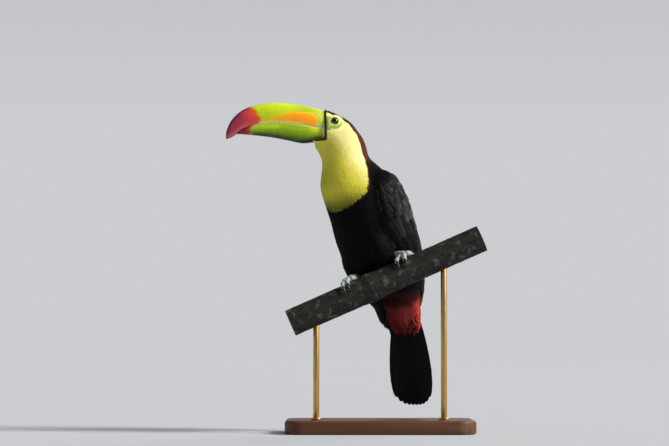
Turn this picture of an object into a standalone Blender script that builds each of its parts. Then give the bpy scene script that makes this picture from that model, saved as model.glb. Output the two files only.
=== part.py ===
"""A life-size keel-billed toucan, perched on a cut length of branch over a display stand.

Metres, +Z up. The origin is the middle of the stand's underside. The branch runs along X,
rising to +X, and the bird sits astride it: its breast faces -Y and a little to -X, its tail
hangs behind the branch, and its bill points along -X.

The flesh is one surface, a row of oval sections along the spine from the vent to the forehead.
Trunk, neck and head are three stretches of it, and the wings and thighs lie on it.
"""

import math

import bmesh
import bpy
from mathutils import Vector

PARTS = "keel_billed_toucan"
CUTTERS = "cutters"
BLACK = (0.012, 0.012, 0.016)
YELLOW = (0.85, 0.72, 0.10)
SKIN_GREEN = (0.55, 0.66, 0.16)
BILL_GREEN = (0.62, 0.72, 0.05)
BILL_DARK_GREEN = (0.30, 0.48, 0.04)
EYE_BROWN = (0.02, 0.012, 0.01)
SLATE_BLUE = (0.30, 0.38, 0.46)
HORN = (0.05, 0.045, 0.045)
BARK = (0.19, 0.18, 0.15)
WALNUT = (0.13, 0.06, 0.03)
BRASS = (0.80, 0.60, 0.28)

MM = 0.001
GAP = 0.3 * MM

SHARP_ANGLE = math.radians(40)

# Stand and perch
BASE_SIZE = Vector((250, 164, 18)) * MM
BASE_CORNER = 26 * MM
BASE_BEVEL = 3.5 * MM
PERCH_RADIUS = 18 * MM
PERCH_SLOPE = math.radians(23.9)
PERCH_MIDDLE = Vector((8, -32, 201)) * MM
PERCH_LENGTH = 276 * MM
PERCH_NODE = -22 * MM
PERCH_NODE_SPREAD = 11 * MM
PERCH_NODE_HEIGHT = 1.6 * MM
ROD_RADIUS = 4 * MM
ROD_SPREAD = 84 * MM
ROD_BITE = 7 * MM
ROD_SIDES = 20

# The spine, from the vent to the forehead. Each section has its middle (x, y, z), the way the
# breast faces (degrees from -Y towards -X), how far its plane leans forward (degrees), its half
# width, depth to the belly and depth to the back, in millimetres. The last value, a share, makes
# it an egg: the belly side narrows by it and the back side fills out.
SPINE = (
    ("vent", 36, 49, 150, 36, 14, 20, 13, 10, 0),
    ("coverts", 27, 42.5, 174, 40, 22, 31, 35, 30, 0),
    ("hips", 16.5, 34.5, 198.5, 43, 24, 42, 43.5, 42, 0),
    ("belly", 3.3, 22, 235.3, 45, 24, 49, 51, 50, 0),
    ("waist", -8, 10.3, 266.3, 46, 24, 51, 53.5, 51, 0),
    ("breast", -17.8, -1, 298.3, 49, 25, 50.2, 52, 49.7, 0),
    ("shoulders", -29, -9, 322.8, 55, 26, 47, 49.4, 47, 0),
    ("crop", -39, -14.5, 340.2, 64, 22, 40.4, 44.3, 41.5, 0),
    ("neck", -44.7, -18.5, 357, 74, 15, 31, 34, 33, 0.02),
    ("throat", -46.5, -20.5, 368.5, 82, 13, 27.5, 32, 31, 0.08),
    ("nape", -51, -21.5, 381, 87, 15.8, 25.6, 32.6, 31, 0.18),
    ("cheeks", -59.5, -22, 391, 90, 19, 24, 32, 31.5, 0.3),
    ("ears", -67, -22, 397, 90, 26, 22.8, 33.5, 32.5, 0.34),
    ("brow", -75, -22, 402, 90, 40, 20.8, 30, 29, 0.3),
    ("forehead", -89, -22, 408, 90, 64.7, 17.4, 26, 25.5, 0.1),
)
SECTION_SIDES = 24
TRUNK_ENDS_AT = 6.3
NECK_ENDS_AT = 10.0

# The bill. The gape, where its halves meet, is a curve of heights at even steps from the face to
# the tip. Each section has its outer edge (x, z), its x at the gape and its half width.
MIDLINE_Y = -22 * MM
GAPE_STARTS_AT = -60
GAPE_STEP = -20
GAPE_HEIGHTS = (399.8, 404.2, 408.0, 410.2, 411.1, 409.4, 403.2, 390.6)
UPPER_BILL = (
    (-65, 424.4, -66, 15),
    (-74.4, 427.4, -74.3, 16.3),
    (-103.3, 434.6, -101, 16.8),
    (-132, 437.6, -127, 15.8),
    (-152, 437.1, -143, 14.6),
    (-170.5, 433.2, -157, 13),
    (-185.5, 425.8, -170, 11),
    (-196.8, 414.6, -182, 8.2),
    (-202.8, 402.4, -191, 5.2),
    (-204.2, 394.4, -197.5, 3),
    (-203.8, 389, -202.2, 1),
)
LOWER_BILL = (
    (-64, 392.4, -66, 13.8),
    (-73, 391, -74.3, 15),
    (-86, 388, -88, 15.4),
    (-103, 384.2, -104, 15.2),
    (-122, 388.5, -124, 14),
    (-141, 392.4, -141, 12.6),
    (-158.6, 394.4, -156, 10.8),
    (-173, 395.6, -169, 8.4),
    (-184, 395.9, -181, 5.2),
    (-190, 396, -189.4, 1.6),
)
BILL_STEPS = 9
BILL_BASE = ((-74.2, 450), (-71.4, 389.6), (-88, 386.4), (-103, 382.6), (-150, 386), (-150, 450))
BILL_WIDEST = 0.28
BILL_TUCK = 0.06
BILL_SPACE_HALF_WIDTH = 45
BILL_ROUNDNESS = (1.85, 0.56)

# Eyes
EYE_RADIUS = 6 * MM
EYE_PLACE = Vector((-59.6, 0, 411.4)) * MM
EYE_FROM_MIDLINE = 14.2 * MM

# Pads that lie on the flesh stand a gap off it, and their edges are this thick
PAD_GAP = 0.9 * MM
PAD_EDGE = 0.5 * MM
PAD_FULLNESS = 0.6

# Wings, laid on the trunk between two girth angles (0 at the belly, 180 at the spine). Each row
# has its place along the spine, the two angles and the thickness in millimetres.
WING = (
    (6.85, 112, 136, 1.8),
    (6.62, 100, 144, 5.6),
    (6.2, 86, 150, 8.2),
    (5.5, 72, 153, 8.4),
    (4.4, 63, 155, 7.6),
    (3.4, 69, 158, 6.6),
    (2.4, 90, 161, 5.4),
    (1.5, 110, 163, 4.2),
    (0.8, 128, 164, 3.0),
    (0.35, 142, 163, 1.6),
)

# Thighs, low mounds over the shanks: top and bottom places on the spine, the two girth angles and
# the thickness in millimetres
THIGHS = {"left": (4.3, 2.95, 32, 67, 7.5), "right": (3.4, 2.15, 6, 54, 3.4)}
HEELS = {"left": (3.35, 58, -15), "right": (2.7, -26, -15)}

# Tail
TAIL_ROOT = Vector((37.4, 47, 166)) * MM
TAIL_LENGTH = 131 * MM
TAIL_FACING = math.radians(24)
TAIL_LEAN = math.radians(-5.5)
TAIL_SLANT = math.radians(3)
TAIL_HALF_WIDTHS = (17, 21.5, 25.6, 28.7, 29.8, 28.6)
TAIL_THICKNESS = 3.4 * MM
TAIL_ARCH = 4.5 * MM
TAIL_FEATHERS = 10
TAIL_SCALLOP = 1.6 * MM
TAIL_ROUNDING = 0.12
TAIL_END_TAPER = 0.1

# Feet. A foot has its place along the branch. Angles are round the branch, from its top towards
# -Y. Each toe has the angle where it ends, its skew along the branch and how far it splays.
FEET = (("left", 37), ("right", -43))
SHANK_RADII = (4.1, 3.6, 3.4, 3.7, 4.4)
TOE_RADIUS = 3.3
TOES = (
    ("inner_front", 42, -10, -4.5),
    ("outer_front", 48, -8, 4.5),
    ("outer_back", -74, 7, 4),
    ("inner_back", -64, 5, -4),
)
FOOT_ANGLE = 2
TOE_ROOT = 9
TOE_TAPER = 0.34
TOE_PADS = 0.07
CLAW_START = 2
CLAW_SWEEP = 25
CLAW_RADII = (2.45, 0.35)
CLAW_RISE = 1.5


def blend(rows, place):
    """The row at a place between whole rows, on a smooth curve through them."""
    first = min(max(int(place), 0), len(rows) - 2)
    t = place - first
    near = [rows[min(max(first + k, 0), len(rows) - 1)] for k in (-1, 0, 1, 2)]
    return [
        0.5 * (2 * b + (c - a) * t + (2 * a - 5 * b + 4 * c - d) * t * t + (3 * b - a - 3 * c + d) * t**3)
        for a, b, c, d in zip(*near)
    ]


SECTIONS = [row[1:] for row in SPINE]


def section(place):
    """The middle of a section, its axes (up the spine, to the belly, to the left) and its sizes."""
    x, y, z, facing, lean, half_width, belly, back, egg = blend(SECTIONS, place)
    facing, lean = math.radians(facing), math.radians(lean)
    ahead = Vector((-math.sin(facing), -math.cos(facing), 0))
    up = ahead * math.sin(lean) + Vector((0, 0, math.cos(lean)))
    front = ahead * math.cos(lean) - Vector((0, 0, math.sin(lean)))
    sizes = (half_width * MM, belly * MM, back * MM, egg)
    return Vector((x, y, z)) * MM, (up, front, up.cross(front)), sizes


def on_flesh(place, girth, out=0.0):
    """A point on the flesh, or out metres from it. Girth is in degrees, 0 at the belly and 90 at the left."""
    middle, (_, front, left), (half_width, belly, back, egg) = section(place)
    angle = math.radians(girth)
    if math.cos(angle) > 0:
        depth = belly
        half_width *= 1 - egg * math.cos(angle) ** 1.5
    else:
        depth = back
        half_width *= max(abs(math.sin(angle)), 0.01) ** -max(egg, 0)
    across, along = half_width * math.sin(angle), depth * math.cos(angle)
    normal = Vector((math.sin(angle) / half_width, math.cos(angle) / depth)).normalized()
    return middle + left * (across + out * normal.x) + front * (along + out * normal.y)


def collection(name):
    """The collection of that name, made where there is none yet."""
    if name not in bpy.data.collections:
        bpy.context.scene.collection.children.link(bpy.data.collections.new(name))
    return bpy.data.collections[name]


def put_in(made, name):
    """Moves an object to a collection."""
    for holder in list(made.users_collection):
        holder.objects.unlink(made)
    collection(name).objects.link(made)
    return made


def mesh_object(name, bm):
    bmesh.ops.recalc_face_normals(bm, faces=bm.faces)
    mesh = bpy.data.meshes.new(name)
    bm.to_mesh(mesh)
    bm.free()
    return put_in(bpy.data.objects.new(name, mesh), PARTS)


def loft(name, rings):
    """A closed solid through rings of the same number of points, with a flat cap on each end."""
    bm = bmesh.new()
    loops = [[bm.verts.new(point) for point in ring] for ring in rings]
    for low, high in zip(loops, loops[1:]):
        for k in range(len(low)):
            after = (k + 1) % len(low)
            bm.faces.new((low[k], low[after], high[after], high[k]))
    bm.faces.new(loops[0])
    bm.faces.new(loops[-1])
    return mesh_object(name, bm)


def steps(low, high, count):
    return [low + (high - low) * k / count for k in range(count + 1)]


def helper(made):
    """Marks a cutter, which is not a part."""
    made.hide_render = True
    made.display_type = "WIRE"
    return put_in(made, CUTTERS)


def swollen(source, by=GAP):
    """A cutter: a copy of a solid, larger by a gap all round."""
    graph = bpy.context.evaluated_depsgraph_get()
    mesh = bpy.data.meshes.new_from_object(source.evaluated_get(graph))
    copy = bpy.data.objects.new(source.name + "_cutter", mesh)
    copy.matrix_world = source.matrix_world
    swell = copy.modifiers.new("swell", "DISPLACE")
    swell.mid_level = 0
    swell.strength = by
    return helper(copy)


def boolean(target, other, operation="DIFFERENCE"):
    change = target.modifiers.new(operation.lower(), "BOOLEAN")
    change.operation = operation
    change.object = other
    change.solver = "EXACT"


def settle(made):
    """Makes an object's modifiers part of its mesh."""
    graph = bpy.context.evaluated_depsgraph_get()
    mesh = bpy.data.meshes.new_from_object(made.evaluated_get(graph))
    made.modifiers.clear()
    made.data = mesh
    return made


def paint(made, colour, roughness, metallic=0.0):
    material = bpy.data.materials.new(made.name)
    material.use_nodes = True
    shader = material.node_tree.nodes["Principled BSDF"]
    shader.inputs["Base Color"].default_value = (*colour, 1)
    shader.inputs["Roughness"].default_value = roughness
    shader.inputs["Metallic"].default_value = metallic
    made.data.materials.clear()
    made.data.materials.append(material)
    made.data.shade_smooth()
    made.data.set_sharp_from_angle(angle=SHARP_ANGLE)
    return made


# Flesh: trunk, neck and head


def flesh_ring(place, shift=0.0):
    _, (up, *_), _ = section(place)
    return [on_flesh(place, 360 * k / SECTION_SIDES) + up * shift for k in range(SECTION_SIDES)]


def flesh(name, low, high, count):
    """A stretch of the flesh, short of its neighbours by half a gap at each end."""
    places = steps(low, high, count)
    shifts = [GAP / 2] + [0] * (count - 1) + [-GAP / 2]
    return loft(name, [flesh_ring(place, shift) for place, shift in zip(places, shifts)])


def front_of_bill_base():
    """The space that the bill takes: all that is before its base and above its underside."""
    rings = [
        [Vector((x * MM, MIDLINE_Y + half_width * MM, z * MM)) for x, z in BILL_BASE]
        for half_width in (-BILL_SPACE_HALF_WIDTH, BILL_SPACE_HALF_WIDTH)
    ]
    return helper(loft("bill_space", rings))


# Bill


def gape(x):
    """The height of the gape, in millimetres."""
    return blend([[height] for height in GAPE_HEIGHTS], (x - GAPE_STARTS_AT) / GAPE_STEP)[0]


def bill_ring(row, upper):
    """A section of one half of the bill, flat at the gape and round on the other side."""
    shift = GAP / 2 if upper else -GAP / 2
    far = Vector((row[0], 0, row[1])) * MM
    meets = Vector((row[2], 0, gape(row[2]))) * MM + Vector((0, 0, shift))
    points = []
    for k in range(BILL_STEPS + 1):
        height = math.sin(math.pi / 2 * k / BILL_STEPS)
        if height < BILL_WIDEST:
            share = 1 - BILL_TUCK * (1 - height / BILL_WIDEST) ** 2
        else:
            above, inwards = BILL_ROUNDNESS
            share = max(0.0, 1 - ((height - BILL_WIDEST) / (1 - BILL_WIDEST)) ** above) ** inwards
        points.append((meets.lerp(far, height), row[3] * MM * share))
    left = [spot + Vector((0, MIDLINE_Y - half, 0)) for spot, half in points[:-1]]
    right = [spot + Vector((0, MIDLINE_Y + half, 0)) for spot, half in points[-2::-1]]
    return left + [points[-1][0] + Vector((0, MIDLINE_Y, 0))] + right


def bill_half(name, rows, upper):
    places = steps(0, len(rows) - 1, int(1.5 * (len(rows) - 1)))
    return loft(name, [bill_ring(blend(rows, place), upper) for place in places])


def eye(name, side):
    bpy.ops.mesh.primitive_uv_sphere_add(segments=14, ring_count=8, radius=EYE_RADIUS)
    made = bpy.context.object
    made.name = name
    made.rotation_euler.x = math.radians(90)
    made.location = EYE_PLACE + Vector((0, MIDLINE_Y + side * EYE_FROM_MIDLINE, 0))
    return put_in(made, PARTS)


# Wings and thighs, which lie on the flesh


def laid_on_flesh(name, rows, side, across, count):
    """A lens-shaped pad on the flesh, thickest along its middle, a gap clear of the flesh."""
    rings = []
    for place in steps(0, len(rows) - 1, count):
        where, low, high, thick = blend(rows, place)
        girths = steps(low, high, across)
        crown = [math.sin(math.pi * k / across) ** PAD_FULLNESS for k in range(across + 1)]
        outer = [(girth, PAD_GAP + PAD_EDGE + thick * MM * rise) for girth, rise in zip(girths, crown)]
        inner = [(girth, PAD_GAP) for girth in reversed(girths)]
        rings.append([on_flesh(where, side * girth, out) for girth, out in outer + inner])
    return loft(name, rings)


def thigh_rows(top, bottom, front, back, thick):
    """Rows of a thigh, narrow and thin at its top and bottom."""
    rows = []
    for share in steps(0, 1, 6):
        swell = math.sin(math.pi * (0.08 + 0.84 * share))
        middle, half = (front + back) / 2, (back - front) / 2 * swell**0.5
        rows.append((top + (bottom - top) * share, middle - half, middle + half, thick * swell))
    return rows


# Tail


def tail():
    """The closed tail: ten feathers that overlap in one arched sheet with a rounded, scalloped end."""
    bm = bmesh.new()
    bmesh.ops.create_grid(bm, x_segments=2 * TAIL_FEATHERS, y_segments=8, size=0.5)
    ahead = Vector((-math.sin(TAIL_FACING), -math.cos(TAIL_FACING), 0))
    left = Vector((0, 0, 1)).cross(ahead)
    down = Vector((0, 0, -math.cos(TAIL_LEAN))) + ahead * math.sin(TAIL_LEAN)
    down = (down + left * math.sin(TAIL_SLANT)).normalized()
    front = down.cross(left).normalized()
    for vertex in bm.verts:
        across, along = 2 * vertex.co.x, vertex.co.y + 0.5
        half = blend([[w] for w in TAIL_HALF_WIDTHS], along * (len(TAIL_HALF_WIDTHS) - 1))[0] * MM
        half *= 1 - TAIL_END_TAPER * max(0.0, 4 * along - 3) ** 2
        scallop = TAIL_SCALLOP * (abs(math.cos(math.pi * TAIL_FEATHERS / 2 * across)) - 1)
        reach = TAIL_LENGTH * (1 - TAIL_ROUNDING * abs(across) ** 3.2) + scallop
        arch = front * (TAIL_ARCH * across * across)
        vertex.co = TAIL_ROOT + down * (reach * along) + left * (across * half) + arch
    made = mesh_object("tail", bm)
    wall = made.modifiers.new("thickness", "SOLIDIFY")
    wall.thickness = TAIL_THICKNESS
    wall.offset = 0
    return settle(made)


# Feet


def perch_point(along, angle, radius):
    """A point round the branch: metres along it from its middle, degrees from its top towards -Y."""
    axis = Vector((math.cos(PERCH_SLOPE), 0, math.sin(PERCH_SLOPE)))
    top = Vector((-math.sin(PERCH_SLOPE), 0, math.cos(PERCH_SLOPE)))
    turn = math.radians(angle)
    return PERCH_MIDDLE + axis * along + (top * math.cos(turn) + Vector((0, -1, 0)) * math.sin(turn)) * radius


def perch_radius(along):
    """The branch swells where a leaf has fallen."""
    node = math.exp(-(((along - PERCH_NODE) / PERCH_NODE_SPREAD) ** 2))
    return PERCH_RADIUS + PERCH_NODE_HEIGHT * node


def tube(name, points, radii, wider=0.0, roundness=2):
    """A round tube through points, as a mesh, or one that is wider and longer all round by a little."""
    before = (points[0] - points[1]).normalized() * wider
    after = (points[-1] - points[-2]).normalized() * wider
    points = [points[0] + before, *points[1:-1], points[-1] + after]
    curve = bpy.data.curves.new(name, "CURVE")
    curve.dimensions = "3D"
    curve.bevel_depth = 1
    curve.bevel_resolution = roundness
    curve.use_fill_caps = True
    spline = curve.splines.new("POLY")
    spline.points.add(len(points) - 1)
    for spot, point, radius in zip(spline.points, points, radii):
        spot.co = (*point, 1)
        spot.radius = radius + wider
    made = put_in(bpy.data.objects.new(name + "_curve", curve), CUTTERS)
    graph = bpy.context.evaluated_depsgraph_get()
    bm = bmesh.new()
    bm.from_mesh(bpy.data.meshes.new_from_object(made.evaluated_get(graph)))
    bmesh.ops.remove_doubles(bm, verts=bm.verts, dist=0.00001)
    bpy.data.objects.remove(made)
    return mesh_object(name, bm)


def toe(name, foot_along, end_angle, shift, wider=0.0):
    """A toe, from inside the ball of the foot over the branch."""
    points, radii = [], []
    start = FOOT_ANGLE - math.copysign(TOE_ROOT, end_angle)
    for share in steps(0, 1, 7):
        angle = start + (end_angle - start) * share
        pad = TOE_PADS * math.cos(6 * math.pi * share)
        radius = TOE_RADIUS * (1.12 - TOE_TAPER * share + pad) * MM
        along = foot_along + shift * (0.1 + 0.9 * math.sin(share * math.pi / 2)) * MM
        points.append(perch_point(along, angle, perch_radius(along) + radius + GAP))
        radii.append(radius)
    return tube(name, points, radii, wider)


def claw(name, foot_along, end_angle, shift, wider=0.0):
    """A claw, curved down onto the branch from the end of its toe."""
    turn = math.copysign(1, end_angle)
    along = foot_along + shift * MM
    root, tip = CLAW_RADII
    points, radii = [], []
    for share in steps(0, 1, 6):
        angle = end_angle + turn * (CLAW_START + CLAW_SWEEP * share)
        radius = (tip + (root - tip) * (1 - share) ** 0.8) * MM
        rise = CLAW_RISE * math.sin(math.pi * share**0.8) * MM
        points.append(perch_point(along, angle, perch_radius(along) + radius + 2 * GAP + rise))
        radii.append(radius)
    return tube(name, points, radii, wider, roundness=1)


def shift_of(side, skew, splay):
    """How far along the branch a toe ends from its foot. Outer toes splay away from the other foot."""
    return skew + splay * (1 if side == "left" else -1)


def shank(name, side, foot_along, wider=0.0):
    """The shank, from the ball of the foot on the branch to the heel inside the thigh."""
    place, girth, depth = HEELS[side]
    heel = on_flesh(place, girth, depth * MM)
    above = perch_radius(foot_along) + 1.25 * TOE_RADIUS * MM + GAP
    ball = perch_point(foot_along, FOOT_ANGLE, above)
    points = [ball.lerp(heel, share) for share in steps(0, 1, len(SHANK_RADII) - 1)]
    return tube(name, points, [radius * MM for radius in SHANK_RADII], wider)


def leg(side, foot_along):
    """The bare leg as one solid: the scaled shank with its four toes, two before and two behind."""
    made = shank("leg_" + side, side, foot_along)
    for name, end_angle, skew, splay in TOES:
        piece = toe(f"toe_{side}_{name}", foot_along, end_angle, shift_of(side, skew, splay))
        boolean(made, helper(piece), "UNION")
    return settle(made)


def leg_spaces(side, foot_along):
    """Cutters for what the feathers lie against: the shank, and the toes behind with their claws."""
    spaces = [shank("shank_space_" + side, side, foot_along, GAP)]
    for name, end_angle, skew, splay in TOES:
        if end_angle < 0:
            shift = shift_of(side, skew, splay)
            spaces.append(toe(f"toe_space_{side}_{name}", foot_along, end_angle, shift, 1.5 * GAP))
            spaces.append(claw(f"claw_space_{side}_{name}", foot_along, end_angle, shift, 1.5 * GAP))
    return [helper(space) for space in spaces]


# Perch and stand


def perch():
    """A cut length of branch, swollen where a leaf has fallen."""
    alongs = [PERCH_LENGTH * (share - 0.5) for share in steps(0, 1, 20)]
    axis = [perch_point(along, 0, 0) for along in alongs]
    return tube("perch_branch", axis, [perch_radius(along) for along in alongs], roundness=7)


def stand_base():
    bpy.ops.mesh.primitive_cube_add(size=1, location=(0, 0, BASE_SIZE.z / 2))
    made = bpy.context.object
    made.name = "stand_base"
    made.scale = BASE_SIZE
    bpy.ops.object.transform_apply(location=False, rotation=False, scale=True)
    bm = bmesh.new()
    bm.from_mesh(made.data)
    upright = [e for e in bm.edges if abs(e.verts[0].co.z - e.verts[1].co.z) > BASE_SIZE.z / 2]
    bmesh.ops.bevel(bm, geom=upright, offset=BASE_CORNER, segments=6, profile=0.5, affect="EDGES")
    bm.to_mesh(made.data)
    bm.free()
    rim = made.modifiers.new("rim", "BEVEL")
    rim.width = BASE_BEVEL
    rim.segments = 2
    rim.limit_method = "ANGLE"
    rim.angle_limit = math.radians(60)
    return put_in(made, PARTS)


def stand_rod(name, x):
    """A rod from the base up into the branch."""
    reach = (x - PERCH_MIDDLE.x) * math.tan(PERCH_SLOPE) - PERCH_RADIUS / math.cos(PERCH_SLOPE)
    top = PERCH_MIDDLE.z + reach + ROD_BITE
    bottom = BASE_SIZE.z + GAP
    middle = (x, PERCH_MIDDLE.y, (top + bottom) / 2)
    bpy.ops.mesh.primitive_cylinder_add(
        vertices=ROD_SIDES, radius=ROD_RADIUS, depth=top - bottom, location=middle
    )
    made = bpy.context.object
    made.name = name
    return put_in(made, PARTS)


def make_stand_and_perch():
    paint(stand_base(), WALNUT, 0.35)
    branch = paint(perch(), BARK, 0.9)
    for name, x in (("stand_rod_low", -ROD_SPREAD), ("stand_rod_high", ROD_SPREAD)):
        rod = paint(stand_rod(name, x), BRASS, 0.25, 1.0)
        boolean(branch, swollen(rod))
    return settle(branch)


def make_head():
    head = paint(flesh("head", NECK_ENDS_AT, len(SPINE) - 1, 9), SKIN_GREEN, 0.6)
    boolean(head, front_of_bill_base())
    pieces = (
        paint(bill_half("bill_upper", UPPER_BILL, True), BILL_GREEN, 0.3),
        paint(bill_half("bill_lower", LOWER_BILL, False), BILL_DARK_GREEN, 0.3),
        paint(eye("eye_left", -1), EYE_BROWN, 0.1),
        paint(eye("eye_right", 1), EYE_BROWN, 0.1),
    )
    for piece in pieces:
        boolean(head, swollen(piece))
    settle(head)


def make_body(branch):
    paint(flesh("neck", TRUNK_ENDS_AT, NECK_ENDS_AT, 8), YELLOW, 0.6)
    trunk = paint(flesh("trunk", 0, TRUNK_ENDS_AT, 14), BLACK, 0.5)
    boolean(trunk, swollen(paint(tail(), BLACK, 0.5)))
    boolean(trunk, swollen(branch, 2 * GAP))
    for side, along in FEET:
        paint(leg(side, along * MM), SLATE_BLUE, 0.6)
        for name, end_angle, skew, splay in TOES:
            shift = shift_of(side, skew, splay)
            paint(claw(f"claw_{side}_{name}", along * MM, end_angle, shift), HORN, 0.4)

        sign = 1 if side == "left" else -1
        wing = paint(laid_on_flesh("wing_" + side, WING, sign, 8, 12), BLACK, 0.5)
        thigh = paint(laid_on_flesh("thigh_" + side, thigh_rows(*THIGHS[side]), sign, 6, 6), BLACK, 0.5)
        boolean(thigh, swollen(wing))
        boolean(thigh, swollen(branch))
        for space in leg_spaces(side, along * MM):
            for feathered in (trunk, wing, thigh):
                boolean(feathered, space)
        settle(wing)
        settle(thigh)
    settle(trunk)


for old in list(bpy.data.objects):
    bpy.data.objects.remove(old)
make_head()
make_body(make_stand_and_perch())
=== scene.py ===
"""The looks of a life-size keel-billed toucan on its display perch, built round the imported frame.

Metres, +Z up. The bird's bill points to -X, and it turns its breast half towards -Y.
"""

import math

import bmesh
import bpy
import numpy as np
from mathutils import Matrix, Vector
from mathutils.bvhtree import BVHTree
from mathutils.kdtree import KDTree


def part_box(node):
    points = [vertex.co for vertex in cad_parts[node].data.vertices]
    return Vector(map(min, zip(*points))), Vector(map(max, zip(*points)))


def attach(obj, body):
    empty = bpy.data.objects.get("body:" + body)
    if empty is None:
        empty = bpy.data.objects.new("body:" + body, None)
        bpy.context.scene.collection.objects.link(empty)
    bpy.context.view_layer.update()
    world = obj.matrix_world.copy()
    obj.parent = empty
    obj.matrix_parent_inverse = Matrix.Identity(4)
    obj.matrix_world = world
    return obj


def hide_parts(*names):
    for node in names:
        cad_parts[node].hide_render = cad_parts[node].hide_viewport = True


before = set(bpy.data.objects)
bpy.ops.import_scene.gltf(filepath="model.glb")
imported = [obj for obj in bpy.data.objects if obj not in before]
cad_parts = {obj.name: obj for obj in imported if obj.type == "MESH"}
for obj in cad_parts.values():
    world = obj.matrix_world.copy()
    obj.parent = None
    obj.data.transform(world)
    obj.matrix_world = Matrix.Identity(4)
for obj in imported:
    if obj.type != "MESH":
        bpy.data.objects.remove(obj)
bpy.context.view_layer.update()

# Stand board. A flat board of walnut, its corners sawn round and its edges rounded over with a
# router, then sanded and oiled to a satin. It carries the two rods.

MM = 0.001
BOARD_SIZE = Vector((250, 164, 18)) * MM
BOARD_CORNER = 26 * MM
BOARD_EDGE = 3.5 * MM


def linear(code):
    """A colour given in sRGB hex, in the linear values that a shader wants."""
    shares = [int(code[k : k + 2], 16) / 255 for k in (1, 3, 5)]
    return (*[s / 12.92 if s <= 0.04045 else ((s + 0.055) / 1.055) ** 2.4 for s in shares], 1.0)


def add(tree, kind, inputs=None, out=0, **settings):
    """Adds a node and returns one output of it. An input is a value, or an output to link.

    A Mix of two colours takes its share at 0 and the colours at 6 and 7, and gives its output at 2.
    """
    node = tree.nodes.new("ShaderNode" + kind)
    for name, value in settings.items():
        setattr(node, name, value)
    for socket, value in (inputs or {}).items():
        if isinstance(value, bpy.types.NodeSocket):
            tree.links.new(value, node.inputs[socket])
        else:
            node.inputs[socket].default_value = value
    return node.outputs[out]


def surface(name, **values):
    """A new material with its node tree and shader, whose plain sockets take these values."""
    material = bpy.data.materials.new(name)
    material.use_nodes = True
    shader = material.node_tree.nodes["Principled BSDF"]
    for socket, value in values.items():
        shader.inputs[socket.replace("_", " ")].default_value = value
    return material, material.node_tree, shader


def feed(shader, **ends):
    """Links outputs to a shader's sockets."""
    for socket, value in ends.items():
        shader.id_data.links.new(value, shader.inputs[socket.replace("_", " ")])


def mesh_of(name, bm):
    """A finished mesh from a bmesh, which it frees."""
    mesh = bpy.data.meshes.new(name)
    bm.to_mesh(mesh)
    bm.free()
    return mesh


def rounded(bm, edges, width, segments):
    """Rounds some edges over, this far in from each."""
    bmesh.ops.bevel(
        bm, geom=edges, offset=width, segments=segments, profile=0.5, affect="EDGES", material=-1
    )


def show(name, mesh, materials, slot, *replaced, sharp=30):
    """Puts a finished mesh in the scene as a piece that rides on the model's one body."""
    if isinstance(mesh, bmesh.types.BMesh):
        mesh = mesh_of(name, mesh)
    piece = bpy.data.objects.new(name, mesh)
    bpy.context.scene.collection.objects.link(piece)
    for material in materials:
        mesh.materials.append(material)
    mesh.shade_smooth()
    if sharp:
        mesh.set_sharp_from_angle(angle=math.radians(sharp))
    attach(piece, "root")
    if replaced:
        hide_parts(*replaced)


# Oiled walnut: dark brown lines of grain along the board, about 10 mm apart, wandering where the
# tree grew crooked, with short dark pores and a satin film of oil.
walnut, tree, shader = surface("oiled walnut", Roughness=0.5, Specular_IOR_Level=0.35)
spot = add(tree, "TexCoord", out="Object")
stretched = add(tree, "Mapping", {"Vector": spot, "Scale": (3, 30, 30)})
drift = add(tree, "TexNoise", {"Vector": stretched, "Scale": 0.9, "Detail": 3})
grain = add(
    tree,
    "TexWave",
    {"Vector": stretched, "Scale": 1.1, "Distortion": 14, "Detail": 3, "Detail Scale": 0.5},
    out="Fac",
    bands_direction="Y",
)
pores = add(tree, "TexNoise", {"Vector": stretched, "Scale": 30, "Detail": 2, "Roughness": 0.7})
lines = add(
    tree, "Mix", {0: grain, 6: linear("#482A18"), 7: linear("#633F28")}, out=2, data_type="RGBA"
)
patchy = add(tree, "Mix", {0: drift, 6: lines, 7: linear("#54331D")}, out=2, data_type="RGBA")
pored = add(tree, "MapRange", {"Value": pores, "From Min": 0.62, "From Max": 0.72, "To Max": 0.7})
wood = add(tree, "Mix", {0: pored, 6: patchy, 7: linear("#25140B")}, out=2, data_type="RGBA")
dents = add(tree, "Bump", {"Height": pored, "Distance": 0.06 * MM}, invert=True)
feed(shader, Base_Color=wood, Normal=dents)

bm = bmesh.new()
bmesh.ops.create_cube(bm, size=1)
bmesh.ops.scale(bm, vec=BOARD_SIZE, verts=bm.verts)
bmesh.ops.translate(bm, vec=(0, 0, BOARD_SIZE.z / 2), verts=bm.verts)
upright = [e for e in bm.edges if abs(e.verts[0].co.z - e.verts[1].co.z) > BOARD_SIZE.z / 2]
rounded(bm, upright, BOARD_CORNER, segments=14)
rims = [e for e in bm.edges if len(e.link_faces) == 2 and e.calc_face_angle() > math.radians(60)]
rounded(bm, rims, BOARD_EDGE, segments=5)
show("stand_board", bm, [walnut], "base_wood", "stand_base")

# Stand rods. Two drawn brass rods, polished along their length with a fine pad. Each is pushed into
# a hole under the branch, and a turned collar covers where it enters the board.

COLLAR_RADIUS = 7.5 * MM
COLLAR_HEIGHT = 3.2 * MM
COLLAR_EDGE, ROD_EDGE = 0.8 * MM, 0.3 * MM

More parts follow.
